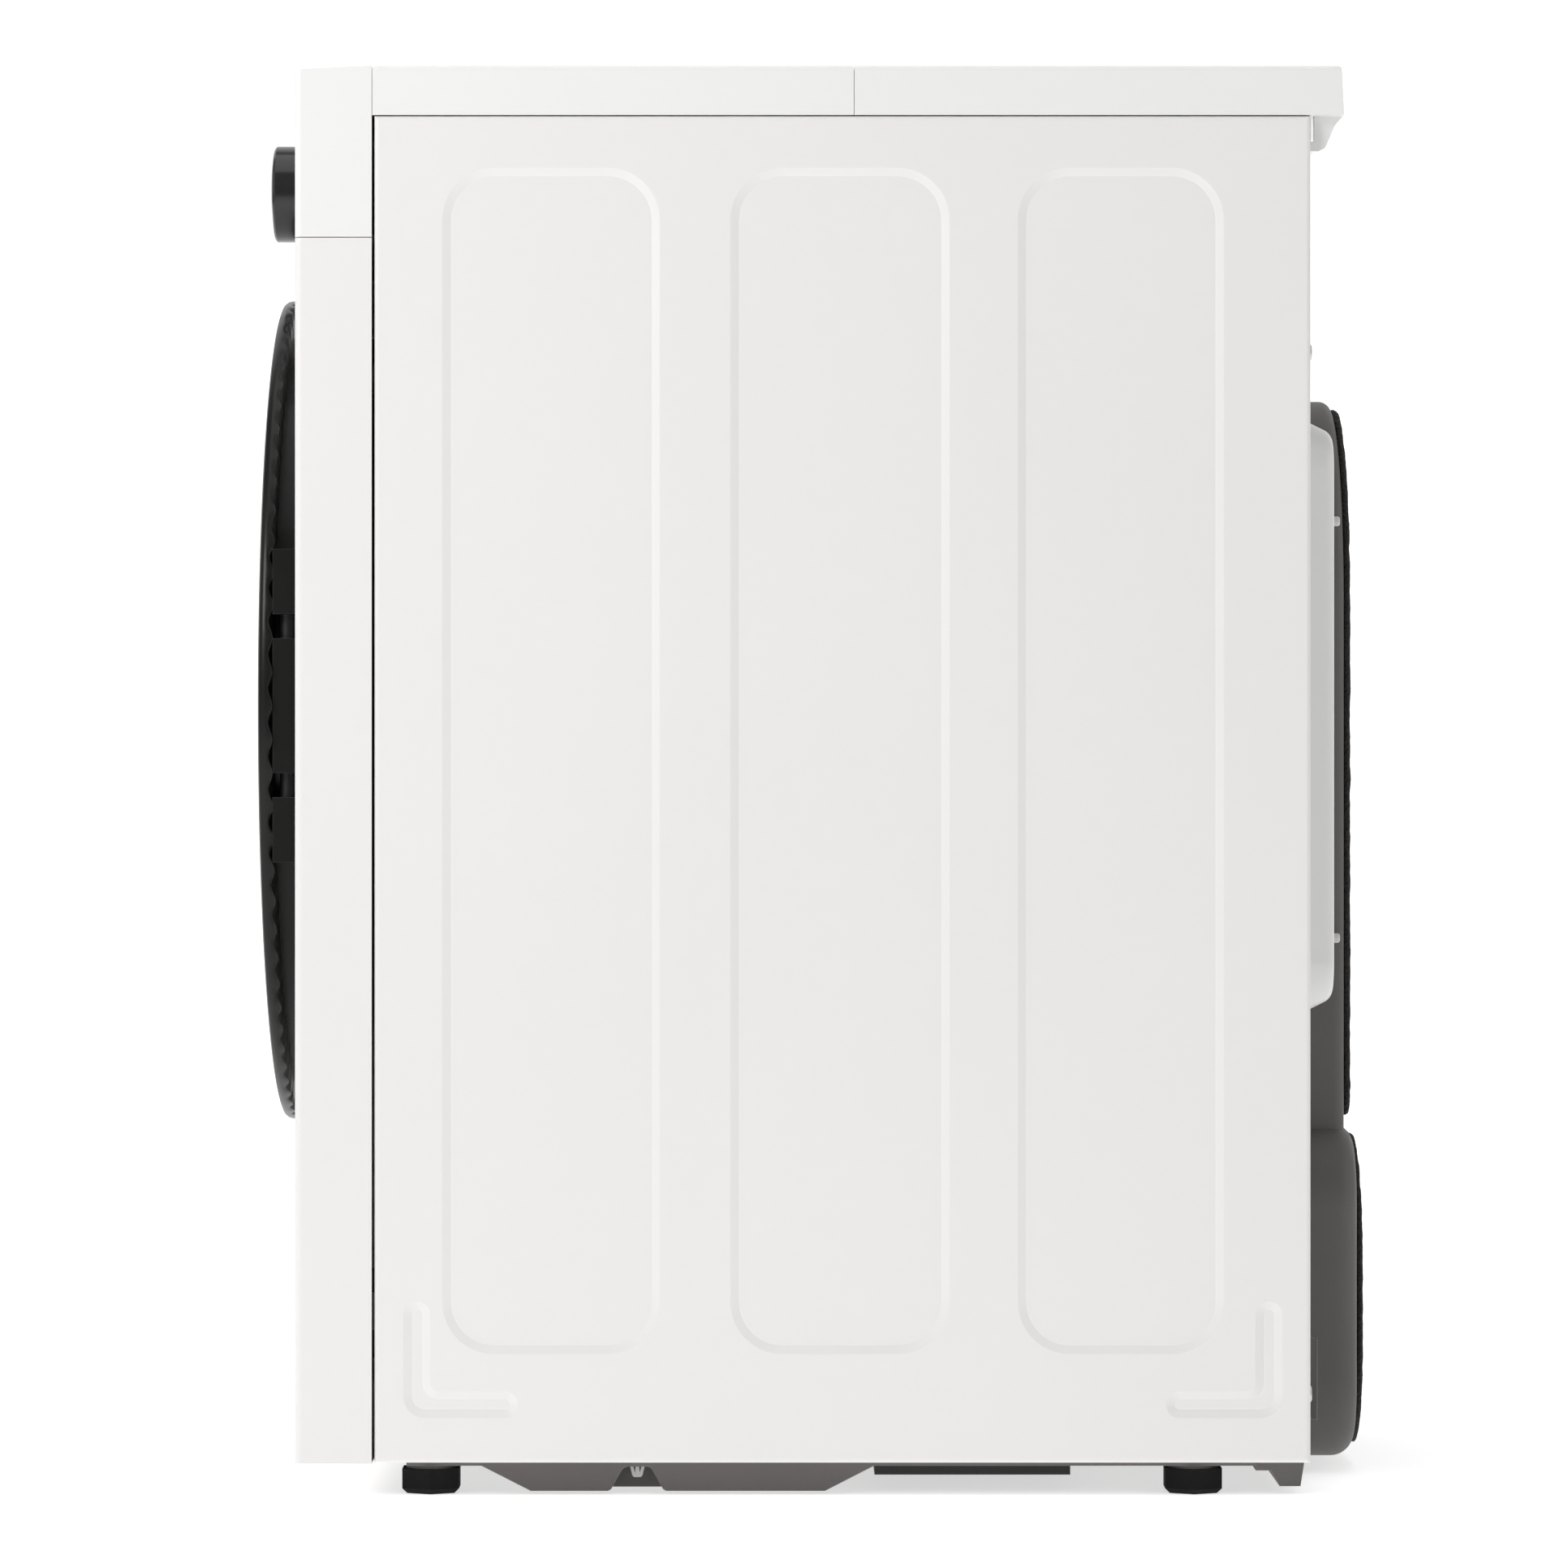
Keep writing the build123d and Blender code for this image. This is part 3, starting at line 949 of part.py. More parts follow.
def parts():
    """Every piece of the dryer, by name."""
    right = side_panel()
    pieces = {
        "side_panel_right": right,
        "side_panel_left": mirror(right, about=Plane.YZ),
        "front_panel": front_panel(),
        "control_panel": control_panel(),
        "display_window": display_window(),
        "control_board": control_board(),
        "rear_panel": rear_panel(),
        "top_panel": top_panel(),
        "top_frame_front": top_frame(TOP_FRONT_Y, SPLIT_Y),
        "top_frame_rear": top_frame(SPLIT_Y + GAP, TOP_BACK_Y),
        "rear_top_brackets": rear_top_brackets(),
        "rear_duct_cover": rear_duct_cover(),
        "duct_pads": duct_pads(),
        "nylon_clips": nylon_clips(),
        "rear_screws": rear_screws(),
        "cord_gland": cord_gland(),
        "base_housing": base_housing(),
        "base_bottom_plate": base_bottom_plate(),
        "rear_skid": rear_skid(),
        "front_bulkhead": front_bulkhead(),
        "filter_duct": filter_duct(),
        "rear_bulkhead": rear_bulkhead(),
        "door_seal": door_seal(),
        "drum_felts": drum_felts(),
        "drum_shell": drum_shell(),
        "drum_lifters": drum_lifters(),
        "roller_shafts": roller_shafts(),
        "roller_left": roller(-ROLLER_X),
        "roller_right": roller(ROLLER_X),
        "motor_housing": motor_housing(),
        "motor_shaft": motor_shaft(),
        "blower_wheel": blower_wheel(),
        "drive_belt": drive_belt(),
        "idler_arm": idler_arm(),
        "idler_pulley": idler_pulley(),
        "tension_spring": tension_spring(),
        "compressor": compressor(),
        "compressor_mounts": compressor_mounts(),
        "heat_exchangers": heat_exchangers(),
        "refrigerant_pipes": refrigerant_pipes(),
        "drain_pump": drain_pump(),
        "door_ring": door_ring(),
        "door_pane": door_pane(),
        "door_frame": door_frame(),
        "door_bowl": door_bowl(),
        "hinge_pins": hinge_pins(),
        "hinge_bracket": hinge_bracket(),
        "door_latch": door_latch(),
        "knob_body": knob_body(),
        "knob_cap": knob_cap(),
        "power_button": button(POWER_X),
        "start_button": button(START_X),
        "water_tank": water_tank(),
        "tank_front": tank_front(),
        "tank_housing": tank_housing(),
        "lint_filter": lint_filter(),
    }
    for name, (x, y) in FEET.items():
        pieces[name] = foot(x, y)
    return pieces


os.makedirs("parts", exist_ok=True)
for name, shape in parts().items():
    group = shape if isinstance(shape, list) else [shape]
    solids = [solid for piece in group for solid in piece.solids()]
    export_step(Compound(children=solids) if len(solids) > 1 else solids[0], f"parts/{name}.step")
    print(name, len(solids), "solids")
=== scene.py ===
# %% [markdown]
# # A heat-pump clothes dryer
# The machine's working shape already exists as a imported model: steel panels, drum, door and so
# on, each its own piece. Loading it first gives every later piece a place to go.

# %% Load the working model
import bpy
import math
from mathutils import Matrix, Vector


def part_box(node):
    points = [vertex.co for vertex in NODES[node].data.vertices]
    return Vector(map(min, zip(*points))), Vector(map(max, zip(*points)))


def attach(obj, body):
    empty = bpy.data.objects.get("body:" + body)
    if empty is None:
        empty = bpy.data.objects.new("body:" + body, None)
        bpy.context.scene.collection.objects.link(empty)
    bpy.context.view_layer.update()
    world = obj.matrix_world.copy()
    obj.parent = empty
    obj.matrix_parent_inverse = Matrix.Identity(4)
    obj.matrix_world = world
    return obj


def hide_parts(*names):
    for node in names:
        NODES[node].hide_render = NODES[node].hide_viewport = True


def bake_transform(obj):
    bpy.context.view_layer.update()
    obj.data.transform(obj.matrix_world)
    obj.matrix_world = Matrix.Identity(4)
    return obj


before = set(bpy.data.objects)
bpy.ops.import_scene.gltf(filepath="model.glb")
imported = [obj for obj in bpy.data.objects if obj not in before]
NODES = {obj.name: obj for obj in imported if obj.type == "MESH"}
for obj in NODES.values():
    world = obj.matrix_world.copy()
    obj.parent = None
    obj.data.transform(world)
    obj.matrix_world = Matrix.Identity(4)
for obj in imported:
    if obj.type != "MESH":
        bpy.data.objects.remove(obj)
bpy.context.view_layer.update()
MM = 0.001
print("pieces in the working model:", len(NODES))

# %% [markdown]
# ## Camera, floor and light
# The machine is looked at squarely from its right side, from a good four metres, with a long
# lens, so that the sides hardly converge. Product pictures of white goods use large soft lights
# and a white sweep. Five big panels do that here: a key over the near front edge, which is the
# brightest, a weak fill, one before the door, one behind and one above. The floor and the wall
# glow a little, which hides the line where they meet. The picture is shown with the plain sRGB curve,
# so that white paint stays white.

# %% Camera
SIDE_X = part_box("side_panel_right")[1].x
CAMERA_BACK = 4.106      # from the near side panel
CAMERA_Y = -0.0158
CAMERA_Z = 0.4240
VIEW_WIDTH = 0.9297      # what the picture spans at the near side panel
SENSOR = 36.0            # the sensor's width in millimetres

camera_data = bpy.data.cameras.new("camera")
camera_data.sensor_width = SENSOR
camera_data.lens = SENSOR * CAMERA_BACK / VIEW_WIDTH
camera = bpy.data.objects.new("camera", camera_data)
bpy.context.collection.objects.link(camera)
camera.location = (SIDE_X + CAMERA_BACK, CAMERA_Y, CAMERA_Z)
camera.rotation_euler = (math.radians(90), 0, math.radians(90))
bpy.context.scene.camera = camera
print("lens in millimetres:", round(camera_data.lens, 1))

# %% Floor and lights
def soft_light(name, place, aim, size, power, colour=(1, 1, 1)):
    """A large square light that looks at a point."""
    data = bpy.data.lights.new(name, "AREA")
    data.shape = "SQUARE"
    data.size = size
    data.energy = power
    data.color = colour
    light = bpy.data.objects.new(name, data)
    bpy.context.collection.objects.link(light)
    light.location = place
    light.rotation_euler = (Vector(aim) - Vector(place)).to_track_quat("-Z", "Y").to_euler()
    return light


MIDDLE = (0, 0, 0.43)
soft_light("key_light", (2.1, -1.75, 1.9), MIDDLE, 1.1, 41, (1, 0.995, 0.985))
soft_light("fill_light", (3.4, 1.2, 1.6), MIDDLE, 2.6, 1.5)
soft_light("front_light", (0.2, -3.6, 1.8), MIDDLE, 2.2, 8)
soft_light("rear_light", (0.2, 3.3, 1.9), MIDDLE, 2.2, 20)
soft_light("top_light", (0.6, 0, 3.6), MIDDLE, 3.0, 36)
bpy.context.scene.view_settings.view_transform = "Standard"

world = bpy.data.worlds.new("studio")
bpy.context.scene.world = world
world.use_nodes = True
world.node_tree.nodes["Background"].inputs["Color"].default_value = (1, 1, 1, 1)
world.node_tree.nodes["Background"].inputs["Strength"].default_value = 0.22

paper = bpy.data.materials.new("white_paper")
paper.use_nodes = True
for name, value in (("Base Color", (0.8, 0.8, 0.8, 1)), ("Emission Color", (1, 1, 1, 1)),
                    ("Emission Strength", 0.6), ("Roughness", 0.9)):
    paper.node_tree.nodes["Principled BSDF"].inputs[name].default_value = value

SWEEP = 12               # the width of the paper's floor and wall
for name, place, tilt in (("floor", (0, 0, 0), 0), ("wall", (-5, 0, 4), 90)):
    bpy.ops.object.select_all(action="DESELECT")
    bpy.ops.mesh.primitive_plane_add(size=SWEEP, location=place, rotation=(0, math.radians(tilt), 0))
    sheet = bpy.context.object
    sheet.name = name
    sheet.data.materials.append(paper)
print("floor and wall, metres wide:", SWEEP)

# %% [markdown]
# ## A small language for finishes
# A finish is a tree of shader nodes. Written out one by one they are hard to read, so two small
# classes help. `Wire` wraps one output, and sums on it add Math nodes. `Finish` owns a material,
# makes any node with one method, and sets the sockets of its Principled shader.

# %% The classes
class Wire:
    """One output of a node. Sums with it add Math nodes to the same finish."""

    def __init__(self, finish, socket):
        self.finish = finish
        self.socket = socket

    def sum(self, operation, first, second):
        return self.finish.node("ShaderNodeMath", {"operation": operation}, {0: first, 1: second})

    def __add__(self, other):
        return self.sum("ADD", self, other)

    def __radd__(self, other):
        return self.sum("ADD", other, self)

    def __sub__(self, other):
        return self.sum("SUBTRACT", self, other)

    def __rsub__(self, other):
        return self.sum("SUBTRACT", other, self)

    def __mul__(self, other):
        return self.sum("MULTIPLY", self, other)

    def __rmul__(self, other):
        return self.sum("MULTIPLY", other, self)

    def __pow__(self, other):
        return self.sum("POWER", self, other)


class Finish:
    """A material under construction."""

    def __init__(self, name):
        self.material = bpy.data.materials.new(name)
        self.material.use_nodes = True
        self.tree = self.material.node_tree
        self.shader = self.tree.nodes["Principled BSDF"]

    def node(self, kind, settings=None, inputs=None, out=0):
        """Adds a node: its settings first, then the values or links of its inputs."""
        node = self.tree.nodes.new(kind)
        for name, value in (settings or {}).items():
            setattr(node, name, value)
        for key, value in (inputs or {}).items():
            if isinstance(value, Wire):
                self.tree.links.new(value.socket, node.inputs[key])
            else:
                node.inputs[key].default_value = value
        return Wire(self, node.outputs[out])

    def place(self, scale=(1, 1, 1), shift=(0, 0, 0)):
        """Object coordinates, stretched and moved."""
        spot = self.node("ShaderNodeTexCoord", out="Object")
        return self.node("ShaderNodeMapping", {}, {"Vector": spot, "Location": shift, "Scale": scale})

    def noise(self, scale, detail=2.0, rough=0.5, where=None):
        """Cloudy noise, 0 to 1, with features about 1 / scale metres across."""
        spot = where or self.node("ShaderNodeTexCoord", out="Object")
        return self.node("ShaderNodeTexNoise", {},
                         {"Vector": spot, "Scale": scale, "Detail": detail, "Roughness": rough}, out="Fac")

    def tint(self, factor, first, second):
        """A mix of two colours."""
        mixed = {0: factor, 6: (*first, 1) if isinstance(first, tuple) else first,
                 7: (*second, 1) if isinstance(second, tuple) else second}
        return self.node("ShaderNodeMix", {"data_type": "RGBA"}, mixed, out=2)

    def bump(self, height, depth, strength):
        """Turns heights into a surface relief, depth metres deep."""
        return self.node("ShaderNodeBump", {}, {"Height": height, "Distance": depth, "Strength": strength})

    def edges(self, radius):
        """1 on convex edges, about 0 on flats: where a painted highlight goes."""
        rounded = self.node("ShaderNodeBevel", {"samples": 4}, {"Radius": radius})
        plain = self.node("ShaderNodeNewGeometry", out="Normal")
        turned = self.node("ShaderNodeVectorMath", {"operation": "DOT_PRODUCT"},
                           {0: rounded, 1: plain}, out=1)
        return (1 - turned) * 6.0

    def surface(self, **values):
        """Sets sockets of the shader, named with underscores for spaces."""
        for name, value in values.items():
            socket = self.shader.inputs[name.replace("_", " ")]
            if isinstance(value, Wire):
                self.tree.links.new(value.socket, socket)
            else:
                socket.default_value = (*value, 1) if isinstance(value, tuple) and len(value) == 3 else value
        return self.material

# %% [markdown]
# ## White steel and white plastic
# Powder-coated steel isn't a mirror. Under a raking light it shows a very fine orange peel, and
# over a metre-wide panel the sheet itself waves by a few hundredths of a millimetre, which is
# what breaks up reflections. Both are relief, so they go into bump. The plastic mouldings are a
# touch warmer and smoother.

# %% White finishes
def white_enamel(name, colour, roughness, peel):
    """Powder coat: orange peel, slow waves in the sheet and a faint change of tone."""
    finish = Finish(name)
    clouds = finish.noise(3.0, 3.0)
    colour_deep = tuple(channel * 0.965 for channel in colour)
    relief = finish.noise(900.0, 2.0) * peel + finish.noise(9.0, 1.0) * 1.2
    return finish.surface(
        Base_Color=finish.tint(clouds, colour, colour_deep),
        Roughness=roughness + finish.noise(40.0, 3.0) * 0.08,
        Normal=finish.bump(relief, 0.00012, 0.5),
        Coat_Weight=0.25,
        Coat_Roughness=0.12,
    )


ENAMEL = white_enamel("white_enamel", (0.80, 0.783, 0.774), 0.34, 0.35)
REAR_ENAMEL = white_enamel("rear_enamel", (0.72, 0.72, 0.71), 0.42, 0.5)
MOULDING = white_enamel("white_moulding", (0.82, 0.82, 0.81), 0.3, 0.16)


def pearl_laminate():
    """The worktop's skin: white with a very fine pearl grain."""
    finish = Finish("pearl_laminate")
    grain = finish.noise(1600.0, 1.0)
    return finish.surface(
        Base_Color=finish.tint(grain, (0.80, 0.80, 0.79), (0.86, 0.86, 0.85)),
        Roughness=0.32 + grain * 0.12,
        Normal=finish.bump(grain, 0.00006, 0.4),
    )


LAMINATE = pearl_laminate()

# %% [markdown]
# ## Moulded grey and black
# Hidden mouldings come out of an eroded tool, which leaves a fine matt grain; their corners get a
# painted highlight. The door ring and the knob come out of a polished tool, so they have a soft gloss
# with hardly any grain, only faint wipe marks in the roughness, and a painted highlight on their edges.

# %% Grey and black mouldings
def grained_plastic(name, colour, roughness, grain, edge_highlight=0.05):
    """A moulding with an eroded grain and a painted highlight on its edges."""
    finish = Finish(name)
    fine = finish.noise(700.0, 3.0)
    tone = finish.noise(14.0, 4.0)
    pale = tuple(min(1.0, channel + edge_highlight) for channel in colour)
    deep = tuple(channel * 0.86 for channel in colour)
    body = finish.tint(tone, colour, deep)
    return finish.surface(
        # Convex edges are painted paler: a painted highlight.
        Base_Color=finish.tint(finish.edges(0.0012), body, pale),
        Roughness=roughness + fine * 0.12,
        Normal=finish.bump(fine, 0.0002, grain),
    )


def polished_plastic(name, colour, roughness, coat=0.5, shine=0.5):
    """A glossy moulding with faint wipe marks and a painted highlight on its edges."""
    finish = Finish(name)
    wipe = finish.noise(1.0, 4.0, 0.6, finish.place((60.0, 9.0, 60.0)))
    pale = tuple(channel + 0.05 for channel in colour)
    return finish.surface(
        # Convex edges are painted paler: a painted highlight.
        Base_Color=finish.tint(finish.edges(0.0006) * 0.7, colour, pale),
        Roughness=roughness + wipe * 0.09,
        Normal=finish.bump(finish.noise(500.0, 1.0), 0.00004, 0.3),
        Coat_Weight=coat,
        Coat_Roughness=0.06,
        Specular_IOR_Level=shine,
    )


GREY_MOULDING = grained_plastic("grey_moulding", (0.100, 0.094, 0.091), 0.5, 0.5)
BASE_GREY = grained_plastic("base_grey", (0.125, 0.117, 0.113), 0.52, 0.5)
BLACK_MOULDING = grained_plastic("black_moulding", (0.016, 0.015, 0.0145), 0.45, 0.35, 0.03)
DOOR_BLACK = polished_plastic("door_black", (0.008, 0.0076, 0.0072), 0.27, 0.04, 0.2)
GLOSS_BLACK = polished_plastic("gloss_black", (0.010, 0.010, 0.011), 0.2, 0.25, 0.4)
NYLON = grained_plastic("clip_nylon", (0.62, 0.62, 0.61), 0.4, 0.3)


def rubber(name, colour, dust=0.02, shine=0.08):
    """Dull rubber with a bloom of pale dust in the grain."""
    finish = Finish(name)
    bloom = finish.noise(120.0, 5.0)
    return finish.surface(
        Base_Color=finish.tint(bloom, colour, tuple(channel + dust for channel in colour)),
        Roughness=0.62 + bloom * 0.25,
        Normal=finish.bump(finish.noise(1500.0, 2.0), 0.0001, 0.6),
        Specular_IOR_Level=shine,
    )


# The feet are black rubber, set darker still, near pure black: painted shade from under the cabinet.
FOOT_RUBBER = rubber("foot_rubber", (0.002, 0.002, 0.002), 0.004, 0.22)
SEAL_RUBBER = rubber("seal_rubber", (0.05, 0.05, 0.052))
BELT_RUBBER = rubber("belt_rubber", (0.012, 0.012, 0.012))

# %% [markdown]
# ## Metals
# Bare steel, aluminium and copper keep the marks of how they were made: the drum's sheet is
# brushed along its length, the knob's cap is turned, so its lines run in circles, and zinc-plated
# screws have a cloudy tone. Stretched noise gives the lines, and goes into roughness and relief.

# %% Metal finishes
def brushed_metal(name, colour, roughness, stretch, depth=0.00004):
    """Metal brushed along the axis that stretch makes smallest."""
    finish = Finish(name)
    lines = finish.noise(1.0, 3.0, 0.6, finish.place(stretch))
    return finish.surface(
        Base_Color=finish.tint(lines, colour, tuple(channel * 0.88 for channel in colour)),
        Metallic=1.0,
        Roughness=roughness + lines * 0.14,
        Normal=finish.bump(lines, depth, 0.5),
    )


DRUM_STEEL = brushed_metal("drum_steel", (0.62, 0.62, 0.63), 0.24, (500.0, 8.0, 500.0))
ZINC = brushed_metal("zinc_steel", (0.58, 0.58, 0.57), 0.34, (180.0, 180.0, 180.0))
FINS = brushed_metal("fin_aluminium", (0.72, 0.73, 0.74), 0.35, (900.0, 30.0, 30.0), 0.0002)
COPPER = brushed_metal("drawn_copper", (0.72, 0.34, 0.2), 0.28, (120.0, 120.0, 120.0))


def turned_silver():
    """The cap of the knob: satin silver with fine rings about its own middle."""
    finish = Finish("turned_silver")
    middle = (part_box("knob_cap")[0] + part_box("knob_cap")[1]) / 2
    spot = finish.place((1, 1, 1), (-middle.x, 0, -middle.z))
    across = finish.node("ShaderNodeSeparateXYZ", {}, {0: spot}, out="X")
    up = finish.node("ShaderNodeSeparateXYZ", {}, {0: spot}, out="Z")
    radius = (across * across + up * up) ** 0.5
    ring_line = finish.node("ShaderNodeCombineXYZ", {}, {"X": radius * 2600.0})
    rings = finish.noise(1.0, 2.0, 0.6, ring_line)
    return finish.surface(
        Base_Color=finish.tint(rings, (0.74, 0.74, 0.78), (0.66, 0.66, 0.7)),
        Metallic=1.0,
        Roughness=0.2 + rings * 0.12,
        Normal=finish.bump(rings, 0.00003, 0.5),
    )


SILVER = turned_silver()

# %% [markdown]
# ## Glass, foam, felt and the rest
# The door's pane is smoked glass, which is nearly black with a clear shine. The foam pads at the
# back are open-celled, so they swallow light, and their skin is a mass of tiny pits. Felt shows
# fibres. The tank is milky plastic.

# %% Other finishes
def smoked_glass(name, colour, roughness):
    """Dark glass: a black body under a clean coat."""
    finish = Finish(name)
    smear = finish.noise(1.0, 4.0, 0.55, finish.place((18.0, 18.0, 40.0)))
    return finish.surface(
        Base_Color=finish.tint(smear, colour, tuple(channel * 1.6 for channel in colour)),
        Roughness=roughness + smear * 0.05,
        Coat_Weight=0.5,
        Coat_Roughness=0.03,
        Specular_IOR_Level=0.35,
    )


def foam(name, colour, pale):
    """Open-celled foam or felt: pits at two sizes, painted darker as painted shade, and a few pale fibres.
    """
    finish = Finish(name)
    spot = finish.node("ShaderNodeTexCoord", out="Object")
    cells = finish.node("ShaderNodeTexVoronoi", {}, {"Vector": spot, "Scale": 420.0}, out="Distance")
    lumps = finish.noise(90.0, 4.0)
    fibres = finish.noise(1.0, 3.0, 0.7, finish.place((900.0, 900.0, 160.0)))
    height = cells * 1.4 + lumps * 0.8 + fibres * 0.6
    return finish.surface(
        # The pits are painted darker than their rims: painted shade. The fibres are pale in their own
        # colour.
        Base_Color=finish.tint(cells * 0.7 + fibres * 0.4, colour, pale),
        Roughness=0.86 + fibres * 0.12,
        Normal=finish.bump(height, 0.0011, 0.9),
    )


PANE_GLASS = smoked_glass("pane_glass", (0.008, 0.008, 0.009), 0.06)
BOWL_GLASS = smoked_glass("bowl_glass", (0.014, 0.015, 0.016), 0.1)
PAD_FOAM = foam("pad_foam", (0.010, 0.009, 0.0085), (0.032, 0.029, 0.027))
FELT = foam("felt", (0.30, 0.28, 0.25), (0.42, 0.40, 0.37))
MILKY = grained_plastic("milky_plastic", (0.62, 0.65, 0.67), 0.3, 0.15)
SOLDER_MASK = grained_plastic("solder_mask", (0.02, 0.10, 0.045), 0.35, 0.2)
BLACK_PAINT = grained_plastic("black_paint", (0.014, 0.014, 0.015), 0.4, 0.3)

# %% [markdown]
# ## Dressing the working model
# Pieces whose shape is already right keep it and only get their finish. One table says which
# finish goes on which piece.

# %% Finishes by piece
WEARS = {
    ENAMEL: ["side_panel_left", "side_panel_right", "front_panel"],
    REAR_ENAMEL: ["rear_panel"],
    MOULDING: ["control_panel", "top_frame_front", "top_frame_rear", "rear_top_brackets", "power_button",
               "start_button", "tank_front"],
    LAMINATE: ["top_panel"],
    GREY_MOULDING: ["rear_duct_cover", "front_bulkhead", "filter_duct", "tank_housing", "lint_filter",
                    "drum_lifters"],
    BASE_GREY: ["base_housing", "rear_skid"],
    BLACK_MOULDING: ["cord_gland", "base_bottom_plate", "drain_pump", "door_latch", "blower_wheel",
                     "idler_pulley", "roller_left", "roller_right"],
    DOOR_BLACK: ["door_ring", "door_frame"],
    GLOSS_BLACK: ["knob_body"],
    SILVER: ["knob_cap"],
    PANE_GLASS: ["display_window", "door_pane"],
    BOWL_GLASS: ["door_bowl"],
    MILKY: ["water_tank"],
    NYLON: ["nylon_clips"],
    FOOT_RUBBER: ["foot_front_left", "foot_front_right", "foot_rear_left", "foot_rear_right"],
    SEAL_RUBBER: ["door_seal", "compressor_mounts"],
    BELT_RUBBER: ["drive_belt"],
    PAD_FOAM: ["duct_pads"],
    FELT: ["drum_felts"],
    DRUM_STEEL: ["drum_shell", "rear_bulkhead"],
    ZINC: ["rear_screws", "roller_shafts", "motor_housing", "motor_shaft", "tension_spring", "idler_arm"],
    FINS: ["heat_exchangers"],
    COPPER: ["refrigerant_pipes"],
    BLACK_PAINT: ["compressor", "hinge_bracket", "hinge_pins"],
    SOLDER_MASK: ["control_board"],
}
for material, names in WEARS.items():
    for name in names:
        NODES[name].data.materials.clear()
        NODES[name].data.materials.append(material)
dressed = sum(len(names) for names in WEARS.values())
print("dressed pieces:", dressed, "of", len(NODES))

# %% [markdown]
# ## Turned pieces
# Rings are drawn as half a section and spun, as on a lathe. The section is a chain of points
# that a single vertex leaves behind as it is extruded. Spinning it about a line along Y gives a
# closed skin, whose doubled seam is merged.

# %% The lathe
def spun(name, profile, middle, steps):
    """A closed section of (radius, y) points, in metres, spun about a line along Y."""
    bpy.ops.object.select_all(action="DESELECT")
    bpy.ops.mesh.primitive_plane_add(size=0.001, location=(0, 0, 0))
    piece = bpy.context.object
    piece.name = name
    bpy.ops.object.mode_set(mode="EDIT")
    bpy.ops.mesh.merge(type="CENTER")
    spots = [Vector((middle.x + radius, y, middle.z)) for radius, y in profile]
    bpy.ops.transform.translate(value=spots[0])
    for here, there in zip(spots, spots[1:] + spots[:1]):
        bpy.ops.mesh.extrude_vertices_move(TRANSFORM_OT_translate={"value": there - here})
    bpy.ops.mesh.select_all(action="SELECT")
    bpy.ops.mesh.spin(steps=steps, angle=2 * math.pi, center=middle, axis=(0, 1, 0))
    bpy.ops.mesh.select_all(action="SELECT")
    bpy.ops.mesh.remove_doubles(threshold=0.00002)
    bpy.ops.mesh.normals_make_consistent(inside=False)
    bpy.ops.object.mode_set(mode="OBJECT")
    bpy.ops.object.shade_smooth_by_angle(angle=math.radians(32))
    return piece


def stands_for(piece, body, slot, finish, *nodes):
    """Dresses a new piece, and puts it on its body in place of its nodes."""
    piece.data.materials.clear()
    piece.data.materials.append(finish)
    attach(piece, body)
    if nodes:
        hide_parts(*nodes)
    return piece


# %% [markdown]
# ## The door's ring
# The ring is a black moulding with a soft front edge. Behind the edge its rim is cut into
# eighty shallow waves, four and a half degrees each, for the fingers. The waves are a vertex
# move: points of the rear rim go forward and back with the cosine of their angle.

# %% Door ring
WAVES = 80
WAVE_DEPTH = 2.6 * MM
low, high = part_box("door_ring")
ring_middle = Vector(((low.x + high.x) / 2, 0, (low.z + high.z) / 2))
ring_r = (high.z - low.z) / 2
hole_r = (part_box("door_pane")[1].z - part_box("door_pane")[0].z) / 2
front, back = low.y, high.y
section = [
    (ring_r, back), (ring_r, back - 2.9 * MM), (ring_r, front + 4.2 * MM),
    (ring_r - 0.5 * MM, front + 2.4 * MM), (ring_r - 1.7 * MM, front + 0.9 * MM),
    (ring_r - 4 * MM, front + 0.1 * MM), (ring_r - 16 * MM, front),
    (ring_r - 42 * MM, front + 0.3 * MM), (ring_r - 68 * MM, front + 1.1 * MM),
    (hole_r + 6 * MM, front + 1.8 * MM), (hole_r + 1.5 * MM, front + 2.3 * MM), (hole_r, front + 3.2 * MM),
    (hole_r, back), (ring_r - 7 * MM, back),
]
door_ring = spun("door_ring_moulding", section, ring_middle, WAVES * 6)
for vertex in door_ring.data.vertices:
    away = vertex.co - ring_middle
    radius = math.hypot(away.x, away.z)
    if vertex.co.y > back - 0.1 * MM and radius > ring_r - 1 * MM:
        wave = 0.5 - 0.5 * math.cos(WAVES * math.atan2(away.z, away.x))
        vertex.co.y -= WAVE_DEPTH * wave
        vertex.co.x -= away.x / radius * 0.6 * MM * wave
        vertex.co.z -= away.z / radius * 0.6 * MM * wave
stands_for(door_ring, "door", "dark_plastic", DOOR_BLACK, "door_ring")
print("door ring faces:", len(door_ring.data.polygons))

# %% [markdown]
# ## Foam pads
# Two die-cut pads of open-celled foam sit on the duct's cover. A plane is scaled to the pad, its
# corners are bevelled round, and it is extruded to its thickness. Foam never cuts clean, so the
# slab is remeshed finely and pushed about by noise, half a millimetre at its edges.

